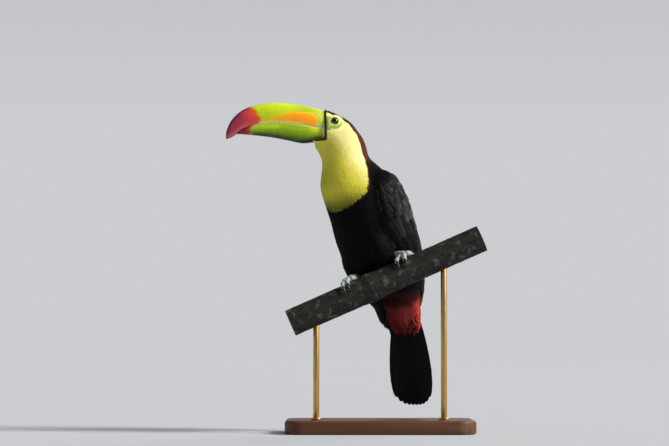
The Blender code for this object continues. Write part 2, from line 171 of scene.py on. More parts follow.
# Drawn brass: a warm yellow metal with fine lines along the rod, 0.1 mm apart and drawn 0.4 mm
# apart to show, and duller patches where it has been handled.
brass, tree, shader = surface("drawn brass", Metallic=1.0, Base_Color=linear("#C9A45C"))
spot = add(tree, "TexCoord", out="Object")
stretched = add(tree, "Mapping", {"Vector": spot, "Scale": (2500, 2500, 25)})
lines = add(tree, "TexNoise", {"Vector": stretched, "Scale": 1, "Detail": 1})
tarnish = add(tree, "TexNoise", {"Vector": spot, "Scale": 60, "Detail": 4})
wear_and_sheen = add(
    tree, "Mix", {0: tarnish, 6: linear("#D3B06A"), 7: linear("#B48F4B")}, out=2, data_type="RGBA"
)
dull = add(tree, "MapRange", {"Value": tarnish, "To Min": 0.22, "To Max": 0.42})
dents = add(tree, "Bump", {"Height": lines, "Distance": 0.02 * MM})
feed(shader, Base_Color=wear_and_sheen, Roughness=dull, Normal=dents)


def turned(bm, radius, bottom, top, x, y, edge):
    """Adds a turned disc or rod, standing up, with its rims eased."""
    made = bmesh.ops.create_cone(
        bm, cap_ends=True, segments=48, radius1=radius, radius2=radius, depth=top - bottom
    )["verts"]
    bmesh.ops.translate(bm, vec=(x, y, (top + bottom) / 2), verts=made)
    met = dict.fromkeys(e for v in made for e in v.link_edges)
    rims = [e for e in met if abs(e.verts[0].co.z - e.verts[1].co.z) < 1e-6]
    rounded(bm, rims, edge, segments=3)


for node in ("stand_rod_low", "stand_rod_high"):
    low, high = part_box(node)
    x, y = (low.x + high.x) / 2, (low.y + high.y) / 2
    bm = bmesh.new()
    turned(bm, (high.x - low.x) / 2, low.z, high.z, x, y, ROD_EDGE)
    turned(bm, COLLAR_RADIUS, BOARD_SIZE.z, BOARD_SIZE.z + COLLAR_HEIGHT, x, y, COLLAR_EDGE)
    show(node + "_turned", bm, [brass], "rod_brass", node)

# Perch. A cut length of a living branch, 36 mm thick, with its bark on: smooth dark grey bark with
# fine cracks along it, pores, pale lichen, and a swollen ring where a leaf has fallen.

PERCH_MIDDLE = np.array((8, -32, 201)) * MM
PERCH_SLOPE = math.radians(23.9)
PERCH_AXIS = np.array((math.cos(PERCH_SLOPE), 0, math.sin(PERCH_SLOPE)))
PERCH_TOP = np.array((-math.sin(PERCH_SLOPE), 0, math.cos(PERCH_SLOPE)))
PERCH_LENGTH = 276 * MM
LEAF_RING_AT = -22 * MM
BARK_SUNK = 0.25 * MM


def perch_radius(along):
    """The branch's radius, which swells where a leaf has fallen."""
    return (18 + 1.6 * np.exp(-(((along - LEAF_RING_AT) / (11 * MM)) ** 2))) * MM


def perch_point(along, angle, radius):
    """Points round the branch: metres along it, degrees from its top towards -Y, metres out."""
    turn = np.radians(angle)[..., None]
    out = PERCH_TOP * np.cos(turn) + np.array((0, -1, 0)) * np.sin(turn)
    along, radius = np.asarray(along)[..., None], np.asarray(radius)[..., None]
    return PERCH_MIDDLE + PERCH_AXIS * along + out * radius


def ripple(points, size, seed):
    """A smooth random height between about -1 and 1, whose bumps are this size across."""
    rng = np.random.default_rng(seed)
    waves = rng.normal(size=(9, 3)) * (2.2 / size)
    phases = rng.uniform(0, 2 * math.pi, 9)
    return np.sin(points @ waves.T + phases).sum(-1) / 4


def shaped(across, along, place, filled=True):
    """A grid of faces laid out by place(u, v), both from 0 to 1, with its sides welded."""
    bm = bmesh.new()
    bmesh.ops.create_grid(bm, x_segments=across, y_segments=along, size=0.5)
    flat = np.array([v.co[:2] for v in bm.verts]) + 0.5
    for vertex, point in zip(bm.verts, place(flat[:, 0], flat[:, 1])):
        vertex.co = point
    bmesh.ops.remove_doubles(bm, verts=bm.verts, dist=1e-7)
    if filled:
        bmesh.ops.holes_fill(bm, edges=[e for e in bm.edges if e.is_boundary])
    bmesh.ops.recalc_face_normals(bm, faces=bm.faces)
    return bm


def bark_point(u, v):
    """The bark: long low ridges, a raised ring with a groove beside it, and small warts."""
    along = (v - 0.5) * PERCH_LENGTH
    radius = perch_radius(along)
    round_it = perch_point(along, u * 360, radius)
    stretched = (round_it - PERCH_MIDDLE) @ np.array((PERCH_AXIS * 0.22, PERCH_TOP, (0, 1, 0))).T
    ring = along - LEAF_RING_AT + 1.2 * MM * np.sin(4 * math.pi * u)
    rise = 0.16 * ripple(stretched, 5 * MM, 3) + 0.22 * ripple(stretched, 14 * MM, 4)
    rise += 0.1 * ripple(round_it, 2.2 * MM, 5)
    rise += 0.35 * np.exp(-((ring / (1.3 * MM)) ** 2))
    rise -= 0.4 * np.exp(-(((ring - 3 * MM) / (1 * MM)) ** 2))
    rise += 0.3 * np.maximum(0, ripple(round_it, 6 * MM, 8) - 0.75) * 2
    return perch_point(along, u * 360, radius + rise * MM - BARK_SUNK)


# Living bark: a dark grey skin with blacker cracks along it about 3 mm apart, paler lichen patches
# 5 to 15 mm across, and rust-brown pores.
bark, tree, shader = surface("living bark", Roughness=0.86, Specular_IOR_Level=0.3)
spot = add(tree, "TexCoord", out="Object")
turned_to = add(tree, "Mapping", {"Vector": spot, "Rotation": (0, PERCH_SLOPE, 0)})
stretched = add(tree, "Mapping", {"Vector": turned_to, "Scale": (60, 330, 330)})
cracks = add(tree, "TexNoise", {"Vector": stretched, "Scale": 1, "Detail": 6, "Roughness": 0.65})
patches = add(tree, "TexNoise", {"Vector": turned_to, "Scale": 85, "Detail": 5, "Roughness": 0.6})
specks = add(tree, "TexVoronoi", {"Vector": turned_to, "Scale": 420})
dark = add(tree, "MapRange", {"Value": cracks, "From Min": 0.34, "From Max": 0.62})
body = add(
    tree, "Mix", {0: dark, 6: linear("#0C0D0C"), 7: linear("#252723")}, out=2, data_type="RGBA"
)
pale = add(tree, "MapRange", {"Value": patches, "From Min": 0.55, "From Max": 0.68, "To Max": 0.7})
lichen = add(tree, "Mix", {0: pale, 6: body, 7: linear("#585D54")}, out=2, data_type="RGBA")
pore = add(
    tree,
    "MapRange",
    {"Value": specks, "From Min": 0.12, "From Max": 0.2, "To Min": 0.75, "To Max": 0.0},
)
pored = add(tree, "Mix", {0: pore, 6: lichen, 7: linear("#231A14")}, out=2, data_type="RGBA")
deep = add(tree, "Bump", {"Height": dark, "Distance": 0.4 * MM, "Strength": 0.8})
fine = add(tree, "Bump", {"Height": pale, "Distance": 0.2 * MM, "Normal": deep})
feed(shader, Base_Color=pored, Normal=fine)

# Sawn end grain: pale sapwood, rough from the saw, with growth rings about 3 mm apart.
end_grain, tree, shader = surface("sawn end grain", Roughness=0.8)
spot = add(tree, "TexCoord", out="Object")
centred = add(tree, "Mapping", {"Vector": spot, "Location": tuple(-PERCH_MIDDLE)})
turned_to = add(tree, "Mapping", {"Vector": centred, "Rotation": (0, PERCH_SLOPE, 0)})
flat = add(tree, "Mapping", {"Vector": turned_to, "Scale": (0, 1, 1)})
rings = add(
    tree,
    "TexWave",
    {"Vector": flat, "Scale": 100, "Distortion": 1.2, "Detail": 2, "Detail Scale": 0.6},
    out="Fac",
    wave_type="RINGS",
    rings_direction="X",
)
cells = add(tree, "TexNoise", {"Vector": flat, "Scale": 900, "Detail": 2})
ringed = add(
    tree, "Mix", {0: rings, 6: linear("#6B6150"), 7: linear("#857A62")}, out=2, data_type="RGBA"
)
grained = add(tree, "Mix", {0: cells, 6: ringed, 7: linear("#776C55")}, out=2, data_type="RGBA")
dents = add(tree, "Bump", {"Height": cells, "Distance": 0.1 * MM})
feed(shader, Base_Color=grained, Normal=dents)

bm = shaped(across=150, along=230, place=bark_point)
ends = [f for f in bm.faces if len(f.verts) > 4]
for cap in ends:
    cap.material_index = 1
bmesh.ops.inset_region(bm, faces=ends, thickness=1.6 * MM, depth=0)
for face in bm.faces:
    face.material_index = 1 if len(face.verts) > 4 else 0
show("perch_bark", bm, [bark, end_grain], "bark", "perch_branch")

# Body line. The bird's flesh is a row of oval sections along its spine, from the vent to the
# forehead. Every marking and every feather is placed by how far along the spine it sits and how
# far round from the belly.

# Middle x, y, z in millimetres, facing and lean in degrees, half width, belly depth and back depth
SPINE = np.array(
    (
        (36, 49, 150, 36, 14, 20, 13, 10),
        (27, 42.5, 174, 40, 22, 31, 35, 30),
        (16.5, 34.5, 198.5, 43, 24, 42, 43.5, 42),
        (3.3, 22, 235.3, 45, 24, 49, 51, 50),
        (-8, 10.3, 266.3, 46, 24, 51, 53.5, 51),
        (-17.8, -1, 298.3, 49, 25, 50.2, 52, 49.7),
        (-29, -9, 322.8, 55, 26, 47, 49.4, 47),
        (-39, -14.5, 340.2, 64, 22, 40.4, 44.3, 41.5),
        (-44.7, -18.5, 357, 74, 15, 31, 34, 33),
        (-46.5, -20.5, 368.5, 82, 13, 27.5, 32, 31),
        (-51, -21.5, 381, 87, 15.8, 25.6, 32.6, 31),
        (-59.5, -22, 391, 90, 19, 24, 32, 31.5),
        (-67, -22, 397, 90, 26, 22.8, 33.5, 32.5),
        (-75, -22, 402, 90, 40, 20.8, 30, 29),
        (-89, -22, 408, 90, 64.7, 17.4, 26, 25.5),
    )
)
TAIL_AHEAD = np.array((-math.sin(math.radians(24)), -math.cos(math.radians(24)), 0))
TAIL_LEFT = np.cross((0, 0, 1), TAIL_AHEAD)
TAIL_ROOT = np.array((37.4, 47, 166)) * MM
TAIL_LEAN = math.radians(-5.5)


def between(rows, place):
    """Rows at places between whole rows, on a smooth curve through them."""
    first = np.clip(np.floor(place).astype(int), 0, len(rows) - 2)
    t = (place - first)[:, None]
    a, b, c, d = (rows[np.clip(first + k, 0, len(rows) - 1)] for k in (-1, 0, 1, 2))
    curve = 2 * b + (c - a) * t + (2 * a - 5 * b + 4 * c - d) * t**2
    return 0.5 * (curve + (3 * b - a - 3 * c + d) * t**3)


def along_spine(place):
    """Middles, axes (up the spine, to the belly, to the left) and sizes at places along it."""
    rows = between(SPINE, place)
    facing, lean = np.radians(rows[:, 3]), np.radians(rows[:, 4])
    ahead = np.stack((-np.sin(facing), -np.cos(facing), np.zeros(len(rows))), 1)
    up = ahead * np.sin(lean)[:, None] + np.array((0, 0, 1)) * np.cos(lean)[:, None]
    front = ahead * np.cos(lean)[:, None] - np.array((0, 0, 1)) * np.sin(lean)[:, None]
    return rows[:, :3] * MM, up, front, np.cross(up, front), rows[:, 5:8] * MM


# Sections at close steps up the spine, for looking up which one a point belongs to
STEPS_UP = 561
TOO_FAR = 75 * MM
POINTS_AT_ONCE = 4000
TABLE = np.linspace(0, len(SPINE) - 1, STEPS_UP)
MIDDLES, UPS, FRONTS, LEFTS, SIZES = along_spine(TABLE)


def body_place(points):
    """How far along the spine each point is, and its angle from the belly, left above zero."""
    nearest = np.empty(len(points), int)
    for start in range(0, len(points), POINTS_AT_ONCE):
        offsets = points[start : start + POINTS_AT_ONCE, None] - MIDDLES
        height = np.abs((offsets * UPS).sum(-1))
        far = np.linalg.norm(offsets, axis=-1)
        worst = height + 0.01 * far + (far > TOO_FAR)
        nearest[start : start + POINTS_AT_ONCE] = worst.argmin(1)
    offset = points - MIDDLES[nearest]
    across = (offset * LEFTS[nearest]).sum(1) / SIZES[nearest, 0]
    ahead = (offset * FRONTS[nearest]).sum(1)
    ahead /= np.where(ahead > 0, SIZES[nearest, 1], SIZES[nearest, 2])
    return TABLE[nearest], np.degrees(np.arctan2(across, ahead))


def smooth_step(value, low, high):
    """A share that eases from 0 at low to 1 at high, whichever of them is the greater."""
    t = np.clip((value - low) / (high - low), 0, 1)
    return t * t * (3 - 2 * t)


def all_over(colour, points):
    """One colour for each of these points."""
    return np.tile(np.array(linear(colour)[:3]), (len(points), 1))


def dye(base, colour, share):
    """Colours with some share of another mixed in."""
    return base + (np.array(linear(colour)[:3]) - base) * np.asarray(share)[:, None]


# Markings: a yellow bib from the face to the breast with a thin red edge, a maroon nape that
# turns black down the back, white over the tail, red under it, and black everywhere else. Painted
# light and shade lie over them: a painted highlight at the bib's rear, painted shade at its bottom,
# on the chin's front and over the red under the tail.
# At places along the spine, how many degrees round from the belly the bib reaches
BIB_PLACES = (5.5, 5.57, 5.65, 5.74, 5.89, 6.06, 6.44, 7.2, 8.06, 9.4, 10.46, 11.8, 12.1, 12.7)
BIB_PLACES += (13.6, 14)
BIB_GIRTHS = (-9, 0, 17, 35, 52, 69, 83.5, 106, 128, 134, 141, 143, 152, 153, 160, 165)
EYE_PLACE = np.array((-59.6, 0, 411.4)) * MM
BILL_MIDLINE = -22 * MM
HEAD_ABOVE = 370 * MM


def gusset(points):
    """How far inside the round-cornered black band behind and below the bill each point is."""
    behind = -69.5 * MM - points[:, 0]
    above = points[:, 2] - 385.6 * MM - 0.07 * (points[:, 0] + 74 * MM)
    corner = 4 * MM
    return corner - np.hypot(np.maximum(corner - behind, 0), np.maximum(corner - above, 0))


def plumage(points, wander=0.0):
    """The feathers' colour at each point, with some painted light and shade. Wander shifts the
    markings' edges a little.
    """
    place, girth = body_place(points)
    girth = np.abs(girth)
    colour = all_over("#08080B", points)
    maroon = smooth_step(place, 7.2, 8.4) * smooth_step(girth, 96, 118)
    colour = dye(colour, "#572511", maroon)
    colour = dye(colour, "#35140B", 0.7 * maroon * smooth_step(place, 8.8, 7.4))
    cap = smooth_step(place, 11.3, 12.1) * smooth_step(girth, 136, 146)
    colour = dye(colour, "#0D0B0C", cap)

    inside = np.interp(place, BIB_PLACES, BIB_GIRTHS) - girth + wander
    inside = np.where(place < 5.5, -9, inside)
    colour = dye(colour, "#3E0A0C", 0.7 * smooth_step(inside, -6.5, -4) * smooth_step(place, 9, 7))
    yellow = smooth_step(inside, -1.2, 1.2) * (1 - cap)
    colour = dye(colour, "#E8E048", yellow)
    colour = dye(colour, "#EEE658", yellow * smooth_step(place, 6.8, 9.8) * 0.8)
    colour = dye(colour, "#E2E868", yellow * smooth_step(place, 10.6, 12.4) * 0.7)
    # Painted light: towards its rear, where light falls on it, the bib is painted pale cream.
    painted_light_rear = smooth_step(girth, 62, 112) * smooth_step(place, 5.9, 6.9)
    colour = dye(colour, "#FFF6B2", yellow * painted_light_rear * 0.85)
    # Painted shade: low on the breast, where it turns down away from the light, the bib is darkened
    # to olive.
    low = smooth_step(place, 6.7, 5.6) * smooth_step(girth, 95, 50)
    colour = dye(colour, "#4A4A10", yellow * low * 0.9)
    chin = smooth_step(gusset(points), -0.8 * MM, 0.8 * MM)
    # Painted shade: the chin's front, in the shade under the bill, is painted black like the band
    # behind it.
    painted_shade_chin = smooth_step(points[:, 0], -87 * MM, -91 * MM) * (points[:, 2] > HEAD_ABOVE)
    chin = np.maximum(chin, painted_shade_chin)
    colour = dye(colour, "#0D0D0C", chin)

    under = points - TAIL_ROOT
    aside = under @ TAIL_LEFT + wander * MM
    before = under @ TAIL_AHEAD
    red = smooth_step(aside, -14 * MM, -11 * MM) * smooth_step(aside, 34 * MM, 28 * MM)
    red *= smooth_step(points[:, 2], 191 * MM, 181 * MM) * smooth_step(before, -4 * MM, 2 * MM)
    # Painted shade: the red under the tail is dark, darker still at its top in the branch's shadow,
    # and bright red only at its right edge, where light falls on it.
    colour = dye(colour, "#5A1411", red)
    colour = dye(colour, "#1C080A", red * smooth_step(points[:, 2], 160 * MM, 178 * MM) * 0.92)
    lit = red * smooth_step(aside, 15 * MM, 23 * MM) * smooth_step(points[:, 2], 182 * MM, 172 * MM)
    colour = dye(colour, "#D23C24", lit * 0.9)
    white = smooth_step(before, -2 * MM, -8 * MM) * smooth_step(points[:, 2], 196 * MM, 186 * MM)
    return dye(colour, "#E9E6DC", white * smooth_step(np.abs(aside), 24 * MM, 19 * MM))


# Skin. One skin over trunk, neck, head, thighs and folded wings, as a mount has over its form. It
# shows only on the face, where it is bare: lime green round the eye and black behind the bill.

FLESH = ("trunk", "neck", "head", "thigh_left", "thigh_right", "wing_left", "wing_right")
SWELL = 0.65 * MM
SKIN_VOXEL = 1.3 * MM
SMOOTHINGS = 24
CHIN_TUCKED_TO = 387 * MM


def cad_copy(*names):
    """One mesh of copies of CAD nodes, with their loose triangles merged."""
    bm = bmesh.new()
    for name in names:
        bm.from_mesh(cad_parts[name].data)
    bmesh.ops.remove_doubles(bm, verts=bm.verts, dist=1e-5)
    bm.normal_update()
    return bm


def coordinates(mesh, kind="co"):
    """The places of a mesh's vertices, or their smooth normals."""
    values = np.empty(3 * len(mesh.vertices), np.float32)
    if kind == "co":
        mesh.vertices.foreach_get("co", values)
    else:
        mesh.vertex_normals.foreach_get("vector", values)
    return values.reshape(-1, 3).astype(float)


def move(mesh, places):
    """Puts a mesh's vertices at these places."""
    mesh.vertices.foreach_set("co", places.astype(np.float32).ravel())
    mesh.update()


def coat_depth(points):
    """How far the skin lies under the feathers' tips: deep on the body, nothing on the face."""
    place = body_place(points)[0]
    depth = np.interp(place, (0, 2, 6, 8, 9.5, 11, 14), (1.6, 2.6, 2.8, 2.0, 1.3, 0.9, 0.5))
    face, _, rim = bare(points)
    return depth * MM * (1 - 0.9 * face) * (1 - rim) - 0.3 * MM * rim


def bare(points):
    """Shares of bare skin: the whole bare face, its darker part by the bill, and its black rim."""
    away = points - EYE_PLACE
    side = np.abs(points[:, 1] - BILL_MIDLINE)
    round_eye = np.hypot(away[:, 0] / 1.12, away[:, 2])
    near = smooth_step(round_eye, 11 * MM, 9 * MM)
    before = smooth_step(away[:, 0], -3 * MM, -6 * MM) * smooth_step(away[:, 2], -13 * MM, -10 * MM)
    top = np.interp(away[:, 0] / MM, (-10, -6, -3), (13.5, 12.3, 10)) * MM
    low = smooth_step(away[:, 2], top, top - 1.5 * MM)
    face = np.maximum(near, before * low) * smooth_step(side, 5 * MM, 8 * MM)
    lores = before * smooth_step(away[:, 0], -6.5 * MM, -9 * MM)
    lores *= smooth_step(away[:, 2], 9 * MM, 4 * MM)
    under = smooth_step(points[:, 2], 391 * MM, 389 * MM)
    rim = smooth_step(points[:, 0], -69.9 * MM + 1.2 * MM * under, -71 * MM + 1.2 * MM * under)
    rim *= smooth_step(gusset(points), -1 * MM, 0.6 * MM)
    return face * (points[:, 2] > 0.392), lores, rim


bm = cad_copy(*FLESH)
for vertex, place in [(v, v.co + v.normal * SWELL) for v in bm.verts]:
    vertex.co = place
form = bpy.data.objects.new("form", mesh_of("draft", bm))
bpy.context.scene.collection.objects.link(form)
joined = form.modifiers.new("one_skin", "REMESH")
joined.mode = "VOXEL"
joined.voxel_size = SKIN_VOXEL
eased = form.modifiers.new("ease", "SMOOTH")
eased.factor = 0.5
eased.iterations = 6
form_made = form.evaluated_get(bpy.context.evaluated_depsgraph_get())
skin_mesh = bpy.data.meshes.new_from_object(form_made)
bpy.data.objects.remove(form)

bm = bmesh.new()
bm.from_mesh(skin_mesh)
unseen = dict.fromkeys(bm.verts)
shells = []
while unseen:
    reached = [unseen.popitem()[0]]
    for vertex in reached:
        for edge in vertex.link_edges:
            other = edge.other_vert(vertex)
            if other in unseen:
                del unseen[other]
                reached.append(other)
    shells.append(reached)
for shell in sorted(shells, key=len)[:-1]:
    bmesh.ops.delete(bm, geom=shell, context="VERTS")
middles = np.array([f.calc_center_median() for f in bm.faces])
on_face = bare(middles)[0] > 0.02
fine_edges = dict.fromkeys(e for f, close in zip(bm.faces, on_face) if close for e in f.edges)
bmesh.ops.subdivide_edges(bm, edges=list(fine_edges), cuts=1, use_grid_fill=True, smooth=0.3)
bmesh.ops.triangulate(bm, faces=[f for f in bm.faces if len(f.verts) > 4])
bm.to_mesh(skin_mesh)
bm.free()
ends = np.empty(2 * len(skin_mesh.edges), np.int32)
skin_mesh.edges.foreach_get("vertices", ends)
ends = ends.reshape(-1, 2)
points = coordinates(skin_mesh)
eased = 0.5 * smooth_step(body_place(points)[0], 9.4, 8.4)[:, None]
meeting = np.bincount(ends.ravel(), minlength=len(points))[:, None]
for _ in range(SMOOTHINGS):
    around = np.stack(
        [
            np.bincount(ends[:, 0], points[ends[:, 1], k], len(points))
            + np.bincount(ends[:, 1], points[ends[:, 0], k], len(points))
            for k in range(3)
        ],
        1,
    )
    points = points + (around / meeting - points) * eased
move(skin_mesh, points)
sunk = points - coordinates(skin_mesh, "normal") * (coat_depth(points) + SWELL)[:, None]
wrinkles = 0.12 * MM * ripple(points, 1.5 * MM, 21) * bare(points)[0]
sunk += coordinates(skin_mesh, "normal") * wrinkles[:, None]
chin = smooth_step(sunk[:, 0], -83 * MM, -90 * MM) * (sunk[:, 2] > HEAD_ABOVE)
sunk[:, 2] += chin * np.clip(CHIN_TUCKED_TO - sunk[:, 2], 0, 1)
move(skin_mesh, sunk)


def face_colour(points):
    """The whole skin's colour: the feathers' own colour, and on the face the bare skin's."""
    colour = plumage(points)
    face, lores, rim = bare(points)
    away = points - EYE_PLACE
    green = dye(colour, "#A9C455", face)
    green = dye(green, "#EDF29E", face * smooth_step(away[:, 2], 5.5 * MM, 9 * MM) * 0.9)
    green = dye(green, "#E4EC8C", face * smooth_step(away[:, 0], 5 * MM, 9 * MM) * 0.8)
    below = smooth_step(away[:, 2] - away[:, 0] * 0.5, -2 * MM, -7 * MM)
    green = dye(green, "#7C9E1C", face * below * 0.75)
    green = dye(green, "#809A4C", lores * 0.7)
    green = dye(green, "#39491F", lores * smooth_step(away[:, 0], -8.8 * MM, -10.2 * MM) * 0.7)
    return dye(green, "#0C0D0C", rim)


def marked(tree, shader, shade):
    """Colours a shader by the colours that paint keeps, lighter and darker by this shade."""
    kept = add(tree, "VertexColor", layer_name="marking")
    tinted = add(
        tree, "Mix", {0: 1.0, 6: kept, 7: shade}, out=2, data_type="RGBA", blend_type="MULTIPLY"
    )
    feed(shader, Base_Color=tinted)


def paint(mesh, colours):
    """Keeps a colour for each vertex, for the material to read."""
    layer = mesh.color_attributes.new("marking", "FLOAT_COLOR", "POINT")
    filled = np.concatenate((colours, np.ones((len(colours), 1))), 1)
    layer.data.foreach_set("color", filled.astype(np.float32).ravel())


def folded(name, folds, depth, patches, low, high, **values):
    """A skin coloured by paint: this many folds and patches to a metre, this dark to this light."""
    material, tree, shader = surface(name, **values)
    spot = add(tree, "TexCoord", out="Object")
    cells = add(tree, "TexVoronoi", {"Vector": spot, "Scale": folds})
    mottle = add(tree, "TexNoise", {"Vector": spot, "Scale": patches, "Detail": 3})
    marked(tree, shader, add(tree, "MapRange", {"Value": mottle, "To Min": low, "To Max": high}))
    feed(shader, Normal=add(tree, "Bump", {"Height": cells, "Distance": depth}))
    return material


paint(skin_mesh, face_colour(points))

# Bare skin: soft and matt with a waxy gloss, wrinkled in folds about 1 mm apart.
bare_skin = folded(
    "waxy bare skin",
    folds=950,
    depth=0.15 * MM,
    patches=500,
    low=0.86,
    high=1.1,
    Roughness=0.5,
    Specular_IOR_Level=0.4,
)
show("skin", skin_mesh, [bare_skin], "face_skin", *FLESH, sharp=0)

# Contour feathers. Small overlapping feathers, each a thin cambered vane, that lie from the bill
# towards the tail: 3 mm long on the face, 7 mm on the neck, 15 mm low on the belly, and 22 mm under
# the tail.

# Each row's height and width, as shares of the feather's own
SIDE_ROWS = ((0, 0.35), (0.22, 0.8), (0.5, 1), (0.76, 0.82), (0.92, 0.46), (1, 0.06))
FINE_ROWS = ((0, 0.4), (0.35, 1), (0.75, 0.75), (1, 0.05))
# The section's corners, across and up, as shares of the width
VANE_SIDES = np.array(((-0.5, -0.09), (0, 0.1), (0.5, -0.09)))
# The side of each feather's patch on its map
PATCH = 0.003


def vane(rows, section):
    """A template feather, 1 long and 1 wide: a closed vane of this section, so wide by rows."""

    def place(u, v):
        heights, widths = np.array(rows).T
        row = np.round(v * (len(rows) - 1)).astype(int)
        corner = section[np.round(u * len(section)).astype(int) % len(section)]
        return np.stack((corner[:, 0] * widths[row], heights[row], corner[:, 1] * widths[row]), 1)

    return shaped(len(section), len(rows) - 1, place)


def through(shares, count):
    """Weights that carry a smooth curve through so many even points, at shares of its length."""
    steps = np.clip(shares, 0, 1) * (count - 1)
    first = np.clip(np.floor(steps).astype(int), 0, count - 2)
    t = steps - first
    weights = np.zeros((len(shares), count))
    basis = (-t + 2 * t**2 - t**3, 2 - 5 * t**2 + 3 * t**3, t + 4 * t**2 - 3 * t**3, t**3 - t**2)
    for k, value in enumerate(basis):
        near = np.clip(first + k - 1, 0, count - 1)
        np.add.at(weights, (np.arange(len(shares)), near), value / 2)
    return weights


def lay(template, paths, normals, widths, colours, roots_on_map):
    """One mesh of feathers: the template bent along each path, with its colour at root and tip.

    Paths and normals are feathers by points by xyz. The map OFBake gives each feather a patch at
    its root's place on the unwrapped skin, and the map vane gives millimetres across and along.
    """
    shape = np.array([v.co[:] for v in template.verts])
    corners = np.array([loop.vert.index for face in template.faces for loop in face.loops])
    sizes = np.array([len(face.verts) for face in template.faces])
    count, many = len(paths), len(shape)
    step = 0.02
    here, before, after = (through(shape[:, 1] + k, paths.shape[1]) for k in (0, -step, step))
    middle = np.einsum("vk,nkd->nvd", here, paths)
    along = np.einsum("vk,nkd->nvd", after - before, paths)
    along /= np.linalg.norm(along, axis=2, keepdims=True)
    out = np.einsum("vk,nkd->nvd", here, normals)
    out -= along * (along * out).sum(2, keepdims=True)
    out /= np.linalg.norm(out, axis=2, keepdims=True)
    aside = np.cross(along, out)
    width = widths[:, None, None]
    places = middle + aside * shape[:, 0, None] * width + out * shape[:, 2, None] * width

    mesh = bpy.data.meshes.new("feathers")
    mesh.vertices.add(count * many)
    mesh.vertices.foreach_set("co", places.astype(np.float32).ravel())
    mesh.loops.add(count * len(corners))
    turned_to = (np.arange(count)[:, None] * many + corners).ravel()
    mesh.loops.foreach_set("vertex_index", turned_to.astype(np.int32))
    mesh.polygons.add(count * len(sizes))
    starts = np.concatenate(([0], np.cumsum(np.tile(sizes, count))[:-1]))
    mesh.polygons.foreach_set("loop_start", starts.astype(np.int32))
    mesh.update(calc_edges=True)

    tint = shape[:, 1][None, :, None]
    paint(mesh, (colours[0][:, None] * (1 - tint) + colours[1][:, None] * tint).reshape(-1, 3))
    lengths = np.linalg.norm(np.diff(paths, axis=1), axis=2).sum(1)
    patch = roots_on_map[:, None] + PATCH * (shape[None, :, :2] - (0, 0.5))
    real = (shape[None, :, 0] * widths[:, None], shape[None, :, 1] * lengths[:, None])
    real = np.stack(real, 2) / MM
    for name, flat in (("OFBake", patch), ("vane", real)):
        layer = mesh.uv_layers.new(name=name)
        layer.uv.foreach_set("vector", flat.reshape(-1, 2)[turned_to].astype(np.float32).ravel())
    return mesh


def on_map(place, girth):
    """The skin unrolled: round the bird across the map, and up the spine."""
    across = (girth - girth.min()) / max(np.ptp(girth), 1e-6)
    up = (place - place.min()) / max(np.ptp(place), 1e-6)
    return 0.01 + 0.98 * np.stack((across, up), 1)


# Barbed feathers: hundreds of fine barbs slant out from each shaft, 0.4 mm apart and drawn 0.7 mm
# apart to show. They are downy and matt on head and breast, closer on the black body, and locked
# into firm vanes with a faint gloss on wings and tail.
def plumes(name, roughness, sheen, gloss, bump):
    """A finish of barbed feathers, which reads its colours and millimetres from each piece."""
    material, tree, shader = surface(
        name,
        Roughness=roughness,
        Sheen_Weight=sheen,
        Sheen_Roughness=0.4,
        Specular_IOR_Level=gloss,
    )
    flat = add(tree, "UVMap", uv_map="vane")
    parts = add(tree, "SeparateXYZ", {"Vector": flat}).node.outputs
    aside = add(tree, "Math", {0: parts["X"]}, operation="ABSOLUTE")
    slant = add(tree, "Math", {0: aside, 1: -1.3, 2: parts["Y"]}, operation="MULTIPLY_ADD")
    turns = add(tree, "Math", {0: slant, 1: 9.0}, operation="MULTIPLY")
    barbs = add(tree, "Math", {0: turns}, operation="SINE")
    shaft = add(
        tree,
        "MapRange",
        {"Value": aside, "From Min": 0.12, "From Max": 0.3, "To Min": 1.6, "To Max": 0.0},
    )
    relief = add(tree, "Math", {0: barbs, 1: shaft}, operation="ADD")
    dents = add(tree, "Bump", {"Height": relief, "Distance": bump, "Strength": 0.6})
    feed(shader, Normal=dents)
    streak = add(
        tree, "MapRange", {"Value": barbs, "From Min": -1.0, "To Min": 0.82, "To Max": 1.06}
    )
    marked(tree, shader, streak)
    return material


soft_plumes = plumes(
    "soft barbed feathers", roughness=0.7, sheen=0.08, gloss=0.15, bump=0.03 * MM
)
black_plumes = plumes(
    "soft black barbed feathers", roughness=0.6, sheen=0.01, gloss=0.05, bump=0.03 * MM
)
glossy_plumes = plumes(
    "glossy black barbed feathers", roughness=0.5, sheen=0.01, gloss=0.065, bump=0.04 * MM
)


def ground(*meshes):
    """A searchable surface of meshes, with the smooth normal of each of its faces."""
    places, faces, out = [], [], []
    for mesh in meshes:
        first = sum(len(p) for p in places)
        corners = [tuple(first + k for k in face.vertices) for face in mesh.polygons]
        outward = coordinates(mesh, "normal")
        out += [outward[list(face.vertices)].mean(0) for face in mesh.polygons]
        places.append(coordinates(mesh))
        faces += corners
    return BVHTree.FromPolygons(np.concatenate(places).tolist(), faces), np.array(out)


def nearest_on(surface_found, points):
    """The nearest places on a surface, and its normals there."""
    tree, out = surface_found
    found = [tree.find_nearest(point) for point in points.tolist()]
    return np.array([hit[0] for hit in found]), out[[hit[2] for hit in found]]


def unit(vectors):
    """The same directions, 1 long."""
    return vectors / np.linalg.norm(vectors, axis=-1, keepdims=True)


